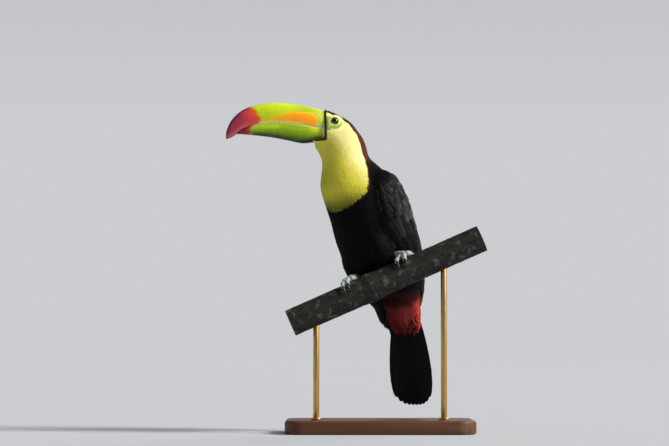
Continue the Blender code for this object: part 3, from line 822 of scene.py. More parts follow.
def scattered(mesh, count, seed):
    """Random points all over a mesh's skin, with its smooth normals."""
    rng = np.random.default_rng(seed)
    mesh.calc_loop_triangles()
    corners = np.empty(3 * len(mesh.loop_triangles), np.int32)
    mesh.loop_triangles.foreach_get("vertices", corners)
    corners = corners.reshape(-1, 3)
    places, out = coordinates(mesh), coordinates(mesh, "normal")
    a, b, c = (places[corners[:, k]] for k in range(3))
    area = np.linalg.norm(np.cross(b - a, c - a), axis=1)
    chosen = rng.choice(len(corners), count, p=area / area.sum())
    share = rng.random((count, 2))
    share = np.where(share.sum(1, keepdims=True) > 1, 1 - share, share)
    weights = np.concatenate((1 - share.sum(1, keepdims=True), share), 1)[:, :, None]
    picked = corners[chosen]
    return (places[picked] * weights).sum(1), unit((out[picked] * weights).sum(1))


def thinned(points, spacing):
    """Which points to keep so that none is nearer to another than its own spacing."""
    tree = KDTree(len(points))
    for k, point in enumerate(points.tolist()):
        tree.insert(point, k)
    tree.balance()
    kept, gone = [], np.zeros(len(points), bool)
    for k, (point, gap) in enumerate(zip(points.tolist(), spacing.tolist())):
        if not gone[k]:
            kept.append(k)
            gone[[found[1] for found in tree.find_range(point, gap)]] = True
    return np.array(kept)


# The folded wing's edges round the body, at places along the spine
WING_PLACES = (0.35, 0.8, 1.5, 2.4, 3.4, 4.4, 5.5, 6.2, 6.62, 6.85)
WING_FRONTS = (142, 128, 110, 90, 69, 63, 72, 86, 100, 112)
WING_BACKS = (163, 164, 163, 161, 158, 155, 153, 150, 144, 136)


def wing_edges(place):
    """The angles round the body of the folded wing's front and back edges."""
    return (np.interp(place, WING_PLACES, angles) for angles in (WING_FRONTS, WING_BACKS))


def wing_share(place, girth):
    """How far across the folded wing a place is, from 0 at its front edge to 1 at its back."""
    front, back = wing_edges(place)
    share = (np.abs(girth) - front) / (back - front)
    return np.where((place < WING_PLACES[0]) | (place > WING_PLACES[-1]), -1, share)


# How many roots are tried, how far they keep off the branch and the hard parts, the height and the
# chin that they keep off, and the places along the spine where one coat passes into the next
ROOTS_TRIED, ROOTS_TRIED_QUICK = 420000, 60000
CLEAR_OF_PERCH = 21.5 * MM
CLEAR_OF_HARD = 0.9 * MM
LOWEST_ROOT = 152.5 * MM
CHIN_FROM, CHIN_TOP = -86 * MM, 390 * MM
COVERTS_BELOW = 6.15
HEAD_FROM, BIB_FROM = 9.2, 5

body = ground(skin_mesh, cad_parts["tail"].data)
hard = ground(
    *(
        node.data
        for name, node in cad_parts.items()
        if name.startswith(("bill", "tail", "eye", "leg", "claw"))
    )
)
points, out = scattered(skin_mesh, ROOTS_TRIED, seed=31)
place, girth = body_place(points)
under_tail = smooth_step(place, 2.0, 1.1)
apart = (1.9, 2.2, 1.6, 1.15, 0.95, 0.85, 0.75, 0.7)
spacing = np.interp(place, (0, 4, 5.3, 6, 7, 9, 11, 14), apart) * MM
spacing *= 1
kept = thinned(points, spacing)
points, out, place, girth, under_tail = (a[kept] for a in (points, out, place, girth, under_tail))

# Feathers grow where no branch, bill, foot, bare skin, chin tuck or folded wing is in their way
from_axis = np.cross(points - PERCH_MIDDLE, PERCH_AXIS)
free = np.linalg.norm(from_axis, axis=1) > CLEAR_OF_PERCH
face, _, rim = bare(points)
free &= (face < 0.5) & (rim < 0.5)
free &= np.linalg.norm(nearest_on(hard, points)[0] - points, axis=1) > CLEAR_OF_HARD
free &= points[:, 2] > LOWEST_ROOT
free &= (points[:, 0] > CHIN_FROM) | (points[:, 2] > CHIN_TOP)
across_wing = wing_share(place, girth)
behind_quills = np.interp(place, (0.35, 1.2, 2.0, 2.8, 3.2), (0.0, 0.2, 0.62, 0.92, 1.0))
free &= (across_wing < 0.02) | (across_wing > behind_quills) | (place > COVERTS_BELOW)
points, out, place, girth, under_tail = (a[free] for a in (points, out, place, girth, under_tail))

rng = np.random.default_rng(77)
wander = np.clip(rng.normal(size=len(points)), -1.2, 1.2)
down = -np.stack([np.interp(place, TABLE, UPS[:, k]) for k in range(3)], 1)
tail_down = unit(np.array((0, 0, -1)) + TAIL_AHEAD * math.sin(TAIL_LEAN))
down = unit(down * (1 - under_tail)[:, None] + tail_down * under_tail[:, None])
square = out - tail_down * (out @ tail_down * under_tail)[:, None]
out = unit(np.where(under_tail[:, None] > 0, square, out))
aside = np.cross(out, down)
down = unit(down + aside * 0.1 * rng.normal(size=len(points))[:, None])
lead = unit(down - out * (down * out).sum(1, keepdims=True))
long = (22, 21, 15, 8, 6.8, 7, 6.5, 4.5, 3.2)
lengths = np.interp(place, (0, 1.9, 2.4, 5.3, 6, 7, 9, 11, 14), long) * MM
lengths *= rng.uniform(0.85, 1.15, len(points))
lengths *= 1 - 0.35 * smooth_step(points[:, 0], -60 * MM, -70 * MM)
broad = (5.4, 4.4, 3.0, 2.0, 1.6, 1.4, 1.2, 1.0)
widths = np.interp(place, (0, 2, 5.3, 6, 7, 9, 11, 14), broad) * MM
raised = coat_depth(points) * rng.uniform(0.7, 0.86, len(points))


def lie(points, out, lead, lengths, raised, surface_found):
    """Paths of short feathers that follow the body and rise a little to their tips."""
    paths, normals = [points - out * 0.25 * MM], [out]
    for share, height in ((0.5, 0.7), (1.0, 1.0)):
        guess = points + lead * (lengths * share)[:, None]
        hit, outward = nearest_on(surface_found, guess)
        shift = ((hit - guess) * out).sum(1)
        shift = np.clip(shift, -0.35 * lengths * share, 0.3 * lengths * share)
        paths.append(guess + out * (shift + raised * height)[:, None])
        normals.append(unit(out + outward))
    return np.stack(paths, 1), np.stack(normals, 1)


paths, normals = lie(points, out, lead, lengths, raised, body)
colour = plumage(paths[:, 1] * 0.6 + paths[:, 2] * 0.4 - out * raised[:, None], wander)
shade = rng.normal(1, 0.04, len(points))[:, None]
dark = colour.max(1) < 0.05
contour, fine_vane = vane(SIDE_ROWS, VANE_SIDES), vane(FINE_ROWS, VANE_SIDES * (1, 0.6))
on_head, behind = place > HEAD_FROM, np.abs(girth) > 90
for name, chosen, template, plumage_finish, slot in (
    ("coat_head", on_head, fine_vane, soft_plumes, "yellow_plumage"),
    ("coat_bib", ~on_head & ~dark & (place > BIB_FROM), fine_vane, soft_plumes, "yellow_plumage"),
    ("coat_back", ~on_head & dark & behind, contour, black_plumes, "black_plumage"),
    ("coat_belly", ~on_head & dark & ~behind, contour, black_plumes, "black_plumage"),
    ("coat_tail_coverts", ~dark & (place <= BIB_FROM), contour, soft_plumes, "yellow_plumage"),
):
    here = np.flatnonzero(chosen)
    tufts = lay(
        template,
        paths[here],
        normals[here],
        widths[here],
        (colour[here] * shade[here] * 0.92, colour[here] * shade[here] * 1.03),
        on_map(place[here], girth[here]),
    )
    show(name, tufts, [plumage_finish], slot, sharp=65)

# Folded wings. Rows of rounded coverts like roof tiles from the shoulder, and under their ends the
# long secondaries and primaries, stacked so that each lower edge covers the feather below it.

TILE_ROWS = ((0, 0.4), (0.15, 0.72), (0.4, 0.95), (0.62, 1), (0.8, 0.9), (0.92, 0.62), (1, 0.12))
FLIGHT_ROWS = ((0, 0.4), (0.05, 0.6), (0.14, 0.8), (0.26, 0.94), (0.4, 1), (0.55, 1), (0.7, 0.98))
FLIGHT_ROWS += ((0.82, 0.92), (0.9, 0.8), (0.95, 0.63), (0.985, 0.38), (1, 0.08))
SHAFTED_SIDES = ((-0.5, -0.05), (-0.3, 0), (-0.05, 0.015), (0, 0.04), (0.05, 0.015), (0.3, 0))
SHAFTED_SIDES = np.array(SHAFTED_SIDES + ((0.5, -0.05), (0, -0.02)))
# Each row's place on the spine, its number of feathers, and their length and width in millimetres
COVERT_ROWS = (
    (6.36, 11, 9, 5.8),
    (6.24, 12, 10, 6.0),
    (6.1, 13, 10, 6.2),
    (5.96, 13, 11, 6.6),
    (5.82, 13, 12, 7.0),
    (5.66, 13, 13, 7.4),
    (5.48, 12, 14, 8.0),
    (5.3, 12, 16, 8.6),
    (5.1, 12, 18, 9.4),
    (4.88, 12, 22, 10.4),
    (4.62, 11, 30, 12.0),
)
# One step of the spine along the wing, and a distance from the flesh beyond the folded wing
PLACE_LENGTH = 33 * MM
OUTSIDE_WING = 12 * MM
QUILLS = 17


def round_body(place, girth, out):
    """Points at places along the spine and angles round the body, so far out from its flesh."""
    middle, _, front, left, size = along_spine(place)
    angle = np.radians(girth)
    half, depth = size[:, 0], np.where(np.cos(angle) > 0, size[:, 1], size[:, 2])
    outward = left * (np.sin(angle) / half)[:, None] + front * (np.cos(angle) / depth)[:, None]
    across = left * (half * np.sin(angle))[:, None] + front * (depth * np.cos(angle))[:, None]
    return middle + across + unit(outward) * out


def wing_paths(side, wing, starts, ends, sinks, rolls, count):
    """Paths of feathers over a folded wing, from and to places given along and across it.

    Each sinks this far below the wing's surface at its root and its tip, and rolls this way so
    that its front edge stands over the next one.
    """
    share = np.linspace(0, 1, count)[None, :]
    place = starts[:, :1] + (ends[:, :1] - starts[:, :1]) * share
    across = starts[:, 1:] + (ends[:, 1:] - starts[:, 1:]) * share
    front, back = wing_edges(place)
    girth = side * (front + (back - front) * across)
    guess = round_body(place.ravel(), girth.ravel(), OUTSIDE_WING)
    hit, outward = nearest_on(wing, guess)
    outward = unit(outward + 1.2 * unit(guess - round_body(place.ravel(), girth.ravel(), 0 * MM)))
    sink = sinks[:, :1] + (sinks[:, 1:] - sinks[:, :1]) * share
    paths = (hit - outward * sink.ravel()[:, None]).reshape(*place.shape, 3)
    outward = outward.reshape(*place.shape, 3)
    aside = unit(np.cross(np.gradient(paths, axis=1), outward))
    return paths, unit(outward + aside * rolls * side), place[:, 0], girth[:, 0]


rng = np.random.default_rng(12)
tile, flight = vane(TILE_ROWS, SHAFTED_SIDES), vane(FLIGHT_ROWS, SHAFTED_SIDES)
for side, name in ((1, "left"), (-1, "right")):
    wing = ground(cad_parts["wing_" + name].data)
    starts, ends, lengths, widths = [], [], [], []
    for row, (place, number, length, width) in enumerate(COVERT_ROWS):
        for k in range(number):
            across = (k + 0.25 + 0.5 * (row % 2)) / number
            starts.append((place + rng.normal(0, 0.02), across + rng.normal(0, 0.012)))
            reach = length * MM / PLACE_LENGTH * rng.uniform(0.93, 1.07)
            ends.append((place - reach, across + 0.02))
            widths.append(width * MM * rng.uniform(0.94, 1.08))
    starts, ends, widths = np.array(starts), np.array(ends), np.array(widths)
    sinks = np.stack((np.full(len(starts), 1.5), rng.uniform(-0.6, 0.3, len(starts))), 1) * MM
    paths, normals, place, girth = wing_paths(side, wing, starts, ends, sinks, 0.1, 5)
    colour = all_over("#09090D", paths) * rng.uniform(0.75, 1.3, (len(paths), 1))
    # Painted sheen: the lower coverts away from the wing's front edge are painted grey at random
    # towards their tips, for light glancing off their gloss.
    painted_sheen = smooth_step(starts[:, 1], 0.1, 0.4) * smooth_step(starts[:, 1], 1.0, 0.8)
    painted_sheen *= smooth_step(starts[:, 0], 6.5, 5.7)
    wear_and_sheen = dye(colour, "#504E53", painted_sheen * rng.uniform(0, 1, len(paths)) ** 2)
    coverts = lay(tile, paths, normals, widths, (colour, wear_and_sheen), on_map(place, girth))
    show("coverts_" + name, coverts, [glossy_plumes], "black_plumage", sharp=50)

    q = np.linspace(0.05, 0.98, QUILLS)
    starts = np.stack((np.interp(q, (0, 0.5, 1), (4.0, 4.45, 4.7)), q), 1)
    tips = np.interp(q, (0, 0.12, 0.45, 0.8, 1), (0.62, 0.4, 1.75, 2.1, 2.6))
    ends = np.stack((tips + rng.normal(0, 0.03, len(q)), q + 0.04), 1)
    depth = np.interp(q, (0, 1), (2.4, 1.2)) * MM
    sinks = np.stack((depth + 0.6 * MM, depth * 0.75), 1)
    paths, normals, place, girth = wing_paths(side, wing, starts, ends, sinks, 0.16, 11)
    widths = np.interp(q, (0, 0.4, 1), (12, 14, 15)) * MM
    colour = all_over("#08080B", paths)
    quills = lay(flight, paths, normals, widths, (colour, colour * 1.2), on_map(place, girth))
    show("flight_" + name, quills, [glossy_plumes], "black_plumage", sharp=50)

# Tail. Ten long broad feathers in one closed fan, the middle pair on top and the outer ones
# below, each with a stiff shaft. They are black, painted with a lighter tinge towards their tips
# for light coming through them.

TAIL_LENGTH = 131 * MM
TAIL_FEATHERS = 10
TAIL_FEATHER_WIDTH = 13.5 * MM
# Half the fan's width at even steps from its root to its end
TAIL_HALF_WIDTHS = np.array((17, 21.5, 25.6, 28.7, 29.8, 28.6))[:, None] * MM
TAIL_SLANT = 0.052
TAIL_DOWN = unit(
    np.array((0, 0, -1)) + TAIL_AHEAD * math.tan(TAIL_LEAN) + TAIL_LEFT * TAIL_SLANT
)
TAIL_FRONT = unit(np.cross(TAIL_DOWN, TAIL_LEFT))

share = np.linspace(0, 1, 9)
half = between(TAIL_HALF_WIDTHS, share * (len(TAIL_HALF_WIDTHS) - 1))[:, 0]
paths = []
for k in range(TAIL_FEATHERS):
    across = (2 * k - TAIL_FEATHERS + 1) / TAIL_FEATHERS
    reach = TAIL_LENGTH * (1 - 0.12 * abs(across) ** 3.2) * share
    layer = (abs(across) * 2.2 - 1.1) * MM + 4.5 * MM * across**2
    line = TAIL_ROOT + TAIL_DOWN * reach[:, None] + TAIL_LEFT * (across * 0.9 * half)[:, None]
    paths.append(line + TAIL_FRONT * layer)
paths = np.array(paths)
normals = np.tile(TAIL_FRONT, (*paths.shape[:2], 1))
lean = np.sign(np.arange(TAIL_FEATHERS) - (TAIL_FEATHERS - 1) / 2) * -0.1
normals += TAIL_LEFT * lean[:, None, None]
colour = all_over("#141315", paths)
broad = vane([(y, w * (0.74 + 0.26 * min(1, y / 0.7))) for y, w in FLIGHT_ROWS], SHAFTED_SIDES)
root_map = np.stack((np.linspace(0.1, 0.9, TAIL_FEATHERS), np.full(TAIL_FEATHERS, 0.5)), 1)
widths = np.full(TAIL_FEATHERS, TAIL_FEATHER_WIDTH)
quills = lay(broad, paths, unit(normals), widths, (colour, colour * 1.5), root_map)
show("tail_feathers", quills, [glossy_plumes], "black_plumage", "tail", sharp=50)

# Bill. Two hollow sheaths of horn, smooth and a little waxy, that meet along a curved gape with
# blunt teeth cut in its edge. The upper one has a keel along its top and a hooked tip.

# The gape's height at steps along x, in millimetres
GAPE_STARTS_AT, GAPE_STEP = -60, -20
GAPE_HEIGHTS = np.array((399.8, 404.2, 408.0, 410.2, 411.1, 409.4, 403.2, 390.6))[:, None]
# The outer edge's x and z, the gape's x and half the width, in millimetres, from base to tip
UPPER_BILL = np.array(
    (
        (-65, 424.4, -66, 15),
        (-74.4, 427.4, -74.3, 16.3),
        (-103.3, 434.6, -101, 16.8),
        (-132, 437.6, -127, 15.8),
        (-152, 437.1, -143, 14.6),
        (-170.5, 433.2, -157, 13),
        (-185.5, 425.8, -170, 11),
        (-196.8, 414.6, -182, 8.2),
        (-202.8, 402.4, -191, 5.2),
        (-204.2, 394.4, -197.5, 3),
        (-203.8, 389, -202.2, 1),
    )
)
LOWER_BILL = np.array(
    (
        (-64, 386.6, -66, 14),
        (-73, 386.2, -74.3, 15),
        (-86, 385.2, -88, 15.4),
        (-103, 383.8, -104, 15.2),
        (-122, 387.6, -124, 14),
        (-141, 391.3, -141, 12.6),
        (-158.6, 393.6, -156, 10.8),
        (-173, 395, -169, 8.4),
        (-184, 395.9, -181, 5.2),
        (-190, 396, -189.4, 1.6),
    )
)
TOOTH_SPACING = 4.9
# Shares of the horn's outline outside and on the flat, and of its height upright and arched
OUTSIDE, INSIDE = 0.84, 0.16
UPRIGHT, ARCHED = 0.28, 0.72
TUCK = 0.03


def gape(x):
    """The height of the gape at each x, in millimetres, with its row of blunt teeth."""
    height = between(GAPE_HEIGHTS, (x - GAPE_STARTS_AT) / GAPE_STEP)[:, 0]
    tooth = (np.mod(x / TOOTH_SPACING, 1) ** 2 - 0.33) * 0.5
    return height + tooth * smooth_step(x, -98, -108) * smooth_step(x, -166, -158)


def sheath(rows, shift):
    """One half of the bill: round outside, flat where it meets the other."""

    def place(u, v):
        x_out, z_out, x_gape, half = between(rows, v * (len(rows) - 1)).T
        outside = np.clip(u / OUTSIDE, 0, 1)
        inside = np.clip((u - OUTSIDE) / INSIDE, 0, 1)
        height = np.sin(math.pi / 2 * (1 - np.abs(2 * outside - 1)))
        height = np.where(inside > 0, 0, height)
        above = np.clip((height - UPRIGHT) / ARCHED, 0, 1)
        tuck = TUCK if shift > 0 else 0
        low = 1 - tuck * (1 - height / UPRIGHT) ** 2
        wide = np.where(height < UPRIGHT, low, (1 - above**1.85) ** 0.56)
        wide = wide * np.where(outside < 0.5, -1, 1) * (1 - 2 * inside)
        meets = gape(x_gape) + shift * 0.03
        x = x_gape + (x_out - x_gape) * height
        z = meets + (z_out - meets) * height
        return np.stack((x * MM, BILL_MIDLINE + wide * half * MM, z * MM), 1)

    return place


def inside_by(places, outline):
    """How far inside an outline each place lies, in millimetres, and below zero outside it."""
    ends = np.roll(outline, -1, 0)
    line, offset = ends - outline, places[:, None] - outline
    share = np.clip((offset * line).sum(-1) / (line**2).sum(-1), 0, 1)
    near = np.linalg.norm(offset - share[..., None] * line, axis=-1).min(1)
    with np.errstate(divide="ignore", invalid="ignore"):
        crossing = offset[..., 0] < line[..., 0] * offset[..., 1] / line[..., 1]
    crossing &= (outline[:, 1] > places[:, 1:]) != (ends[:, 1] > places[:, 1:])
    return np.where(crossing.sum(1) % 2 == 1, near, -near)


# The orange blaze's outline on the bill's side, x and z in millimetres
BLAZE = np.array(
    (
        (-162, 411),
        (-155, 414.2),
        (-147, 417),
        (-137, 420.6),
        (-126.8, 423.6),
        (-111.6, 425.4),
        (-96.4, 424),
        (-86, 421),
        (-82.2, 415.5),
        (-82.4, 409),
        (-84.5, 404),
        (-106.6, 407),
        (-137, 408.5),
        (-156, 409.5),
    )
)


def upper_colour(points):
    """Yellow-green with an orange blaze along the gape, a crimson tip, a black base edge and a
    painted highlight along the gape near the tip.
    """
    x, z = points[:, 0] / MM, points[:, 2] / MM
    high = (z - gape(x)) / 26
    soft = ripple(points, 7 * MM, 41)
    fine = ripple(points, 2.5 * MM, 47)
    colour = all_over("#BAD41F", points)
    colour = dye(colour, "#CFE02E", smooth_step(high + 0.08 * soft, 0.55, 0.95) * 0.9)
    colour = dye(colour, "#A4B91C", smooth_step(x + 3 * soft, -124, -98) * 0.85)
    colour = dye(colour, "#C4CB45", smooth_step(x, -92, -78) * 0.8)
    colour = dye(colour, "#A9D2B4", smooth_step(x, -86, -80) * smooth_step(high, 0.2, 0.05) * 0.9)
    deep = inside_by(np.stack((x, z), 1), BLAZE) + 0.6 * soft + 0.3 * fine
    ahead = smooth_step(x, -104, -140)
    colour = dye(colour, "#F0C022", smooth_step(deep, -1.5 - 2 * ahead, 1.8) * (1 - 0.35 * ahead))
    inner = smooth_step(deep, 0.4 + 2 * ahead, 3.6 + 3 * ahead)
    colour = dye(colour, "#FFA01C", inner * (1 - 0.45 * ahead))
    colour = dye(colour, "#F79A20", smooth_step(high, 0.14, 0.02) * smooth_step(x, -84, -90) * 0.5)
    lip = smooth_step(z - gape(x), 1.5, 0.5) * smooth_step(x, -96, -112)
    colour = dye(colour, "#FFEE80", lip * 0.8)
    edge = (-163, -161, -159.2, -163.3, -167.6, -173)
    edge = np.interp(z, (404, 411.3, 415.3, 421.4, 428.5, 432), edge)
    tip = edge - x + 0.9 * soft + 0.4 * fine
    colour = dye(colour, "#D98B1E", smooth_step(tip, -4.5, -0.2) * 0.9)
    colour = dye(colour, "#E05E22", smooth_step(tip, -1.6, 1.4))
    colour = dye(colour, "#DE4846", smooth_step(tip, 0.8, 7))
    colour = dye(colour, "#B83C54", smooth_step(tip, 8, 26) * 0.9)
    from_top = inside_by(np.stack((x, z), 1), np.concatenate((UPPER_BILL[:, :2], ((-66, 390),))))
    ridge = smooth_step(tip, 0, 10) * smooth_step(from_top, 4.2, 0.6)
    colour = dye(colour, "#54204E", ridge * 0.85)
    # Painted highlight: a pale pink streak along the gape near the tip, where the horn's edge
    # catches the light.
    pale = np.exp(-(((z - gape(x) - 2.6 + 0.5 * soft) / 2.0) ** 2)) * smooth_step(x, -166, -180)
    colour = dye(colour, "#E07C84", pale * (0.5 + 0.2 * fine))
    return dye(colour, "#0B0B0C", smooth_step(x, -73.4, -72.6))


def lower_colour(points):
    """Green, pale along the gape and painted darker below for shade, with strokes by the teeth, a
    black strip and a crimson tip.
    """
    x, z = points[:, 0] / MM, points[:, 2] / MM
    deep = gape(x) - z
    low = deep / np.maximum(gape(x) - np.interp(-x, -LOWER_BILL[:, 0], LOWER_BILL[:, 1]), 4)
    soft = ripple(points, 7 * MM, 43)
    colour = all_over("#9EC414", points)
    colour = dye(colour, "#E8F03C", smooth_step(x, -98, -80) * 0.9)
    colour = dye(colour, "#BCEC2C", smooth_step(x + 4 * soft, -126, -144) * 0.85)
    # Painted shade: the mandible darkens towards its underside, which turns away from the light.
    colour = dye(colour, "#8CB20A", smooth_step(low + 0.03 * soft, 0.25, 0.55) * 0.6)
    colour = dye(colour, "#789A08", smooth_step(low + 0.03 * soft, 0.5, 0.75) * 0.8)
    colour = dye(colour, "#2A3C0A", smooth_step(low + 0.02 * soft, 0.64, 0.95))
    colour = dye(colour, "#FFFC90", smooth_step(deep, 3.8, 1.6) * 0.95)
    stroke = np.mod((x - 0.5 * deep) / TOOTH_SPACING, 1)
    stroke = np.exp(-(((stroke - 0.5) / 0.11) ** 2))
    stroke = stroke * smooth_step(deep, 4.6, 3.0) * smooth_step(deep, 0.3, 1)
    stroke = stroke * smooth_step(x, -100, -110) * smooth_step(x, -167, -158)
    colour = dye(colour, "#6C941C", stroke * 0.35)
    edge = np.interp(z, (396, 397, 402, 409), (-171, -171.4, -172.2, -168.4))
    tip = edge - x + 0.8 * soft
    colour = dye(colour, "#B99A30", smooth_step(tip, -3.6, -0.2) * 0.8)
    colour = dye(colour, "#C8442E", smooth_step(tip, -0.8, 1.4))
    colour = dye(colour, "#982C38", smooth_step(tip, 1, 8))
    colour = dye(colour, "#EEF29A", smooth_step(x, -76.6, -75) * 0.8)
    strip = np.interp(x, (-114, -103, -86, -74), (385.6, 386.6, 388.2, 389)) - z
    colour = dye(colour, "#F0F2A6", smooth_step(strip, -1.4, -0.6) * smooth_step(x, -94, -84) * 0.7)
    black = np.maximum(smooth_step(strip, -0.3, 0.4), smooth_step(x, -73.4, -72.6))
    return dye(colour, "#0B0B0C", black * smooth_step(x, -114, -106))


# Bill horn: keratin, like a fingernail. It is smooth with a soft shine, has faint growth lines
# along it about 2 mm apart, cloudy patches, and a little light goes into it.
horn, tree, shader = surface(
    "bill horn",
    Roughness=0.42,
    Specular_IOR_Level=0.22,
    Coat_Weight=0.08,
    Coat_Roughness=0.2,
    Subsurface_Weight=0.03,
    Subsurface_Radius=(0.004, 0.002, 0.001),
    Subsurface_Scale=1.0,
)
spot = add(tree, "TexCoord", out="Object")
stretched = add(tree, "Mapping", {"Vector": spot, "Scale": (55, 500, 500)})
growth = add(tree, "TexNoise", {"Vector": stretched, "Scale": 1, "Detail": 3})
clouds = add(tree, "TexNoise", {"Vector": spot, "Scale": 110, "Detail": 4})
streak = add(tree, "MapRange", {"Value": growth, "To Min": 0.86, "To Max": 1.12})
cloudy = add(tree, "MapRange", {"Value": clouds, "To Min": 0.88, "To Max": 1.12})
shade = add(tree, "Math", {0: streak, 1: cloudy}, operation="MULTIPLY")
marked(tree, shader, shade)
rubbed = add(tree, "MapRange", {"Value": clouds, "To Min": 0.34, "To Max": 0.52})
dents = add(tree, "Bump", {"Height": growth, "Distance": 0.12 * MM})
feed(shader, Roughness=rubbed, Normal=dents)

for name, rows, shift, colours in (
    ("upper", UPPER_BILL, 1, upper_colour),
    ("lower", LOWER_BILL, -1, lower_colour),
):
    mesh = mesh_of(name, shaped(across=100, along=300, place=sheath(rows, shift)))
    paint(mesh, colours(coordinates(mesh)))
    show(name + "_sheath", mesh, [horn], "bill_horn", "bill_" + name, sharp=50)

# Bill rim. A narrow black band of tough skin, grown over the joint between the horn of the bill and
# the face.

RIM_MIDDLE = Vector((-72 * MM, BILL_MIDLINE, 408 * MM))
RIM_REACH = 50 * MM
bill = ground(*(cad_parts[name].data for name in ("bill_upper", "bill_lower")))[0]


def rim_point(u, v):
    """Round the bill's base, and round the band's own flat section."""
    turn, roll = 2 * math.pi * v, 2 * math.pi * u
    points = []
    for a, b in zip(turn, roll):
        way = Vector((0, math.cos(a), math.sin(a)))
        hit = bill.ray_cast(RIM_MIDDLE + way * RIM_REACH, -way)[0]
        wide = (1.15 - 0.45 * math.sin(a)) * MM
        proud = (0.4 * math.cos(b) - 0.7 * max(0, math.sin(a)) ** 4) * MM
        points.append(hit + way * proud + Vector((wide * math.sin(b), 0, 0)))
    return points


def mottled(name, patches, dark, pale, depth, **values):
    """A finish mottled and pitted between two colours, with this many patches to a metre."""
    material, tree, shader = surface(name, **values)
    spot = add(tree, "TexCoord", out="Object")
    pits = add(tree, "TexNoise", {"Vector": spot, "Scale": patches, "Detail": 3})
    tint = add(
        tree, "Mix", {0: pits, 6: linear(dark), 7: linear(pale)}, out=2, data_type="RGBA"
    )
    dents = add(tree, "Bump", {"Height": pits, "Distance": depth})
    feed(shader, Base_Color=tint, Normal=dents)
    return material


# Tough dark skin: nearly black, matt, with pores about 1 mm apart.
rim_skin = mottled(
    "tough dark skin",
    patches=900,
    dark="#070707",
    pale="#171714",
    depth=0.2 * MM,
    Roughness=0.55,
    Base_Color=linear("#0D0D0D"),
)
band = shaped(across=10, along=120, place=rim_point, filled=False)
show("bill_rim", band, [rim_skin], "face_skin", sharp=0)

# Eyes. Dark brown irises round black pupils, under a wet cornea that bulges a little. Each eye sits
# deep in the head, held by a ring of soft wrinkled lids.

EYE_RADIUS = 6 * MM
EYE_FROM_MIDLINE = 14.2 * MM
CORNEA_RADIUS, CORNEA_BULGE = 4.4 * MM, 0.35 * MM
LID_FROM_CENTRE = 3.55 * MM
# Millimetres out from the gaze line and forward, from the lid's inner edge to its skirt
LID_PROFILE = ((4.75, -0.9), (4.85, 0.1), (5.3, 0.75), (6.1, 0.95), (7.0, 0.6), (8.0, -0.1))
LID_PROFILE = np.array(LID_PROFILE + ((8.8, -1.2),))
skin_tree = ground(skin_mesh)[0]

# Wet eye: the colours of the iris under a clear cornea, smooth as glass under its film of tears.
wet_eye, tree, shader = surface(
    "wet eye", Roughness=0.08, Specular_IOR_Level=0.3, Coat_Weight=0.5, Coat_Roughness=0.02
)
dyed = add(tree, "VertexColor", layer_name="marking")
feed(shader, Base_Color=dyed)

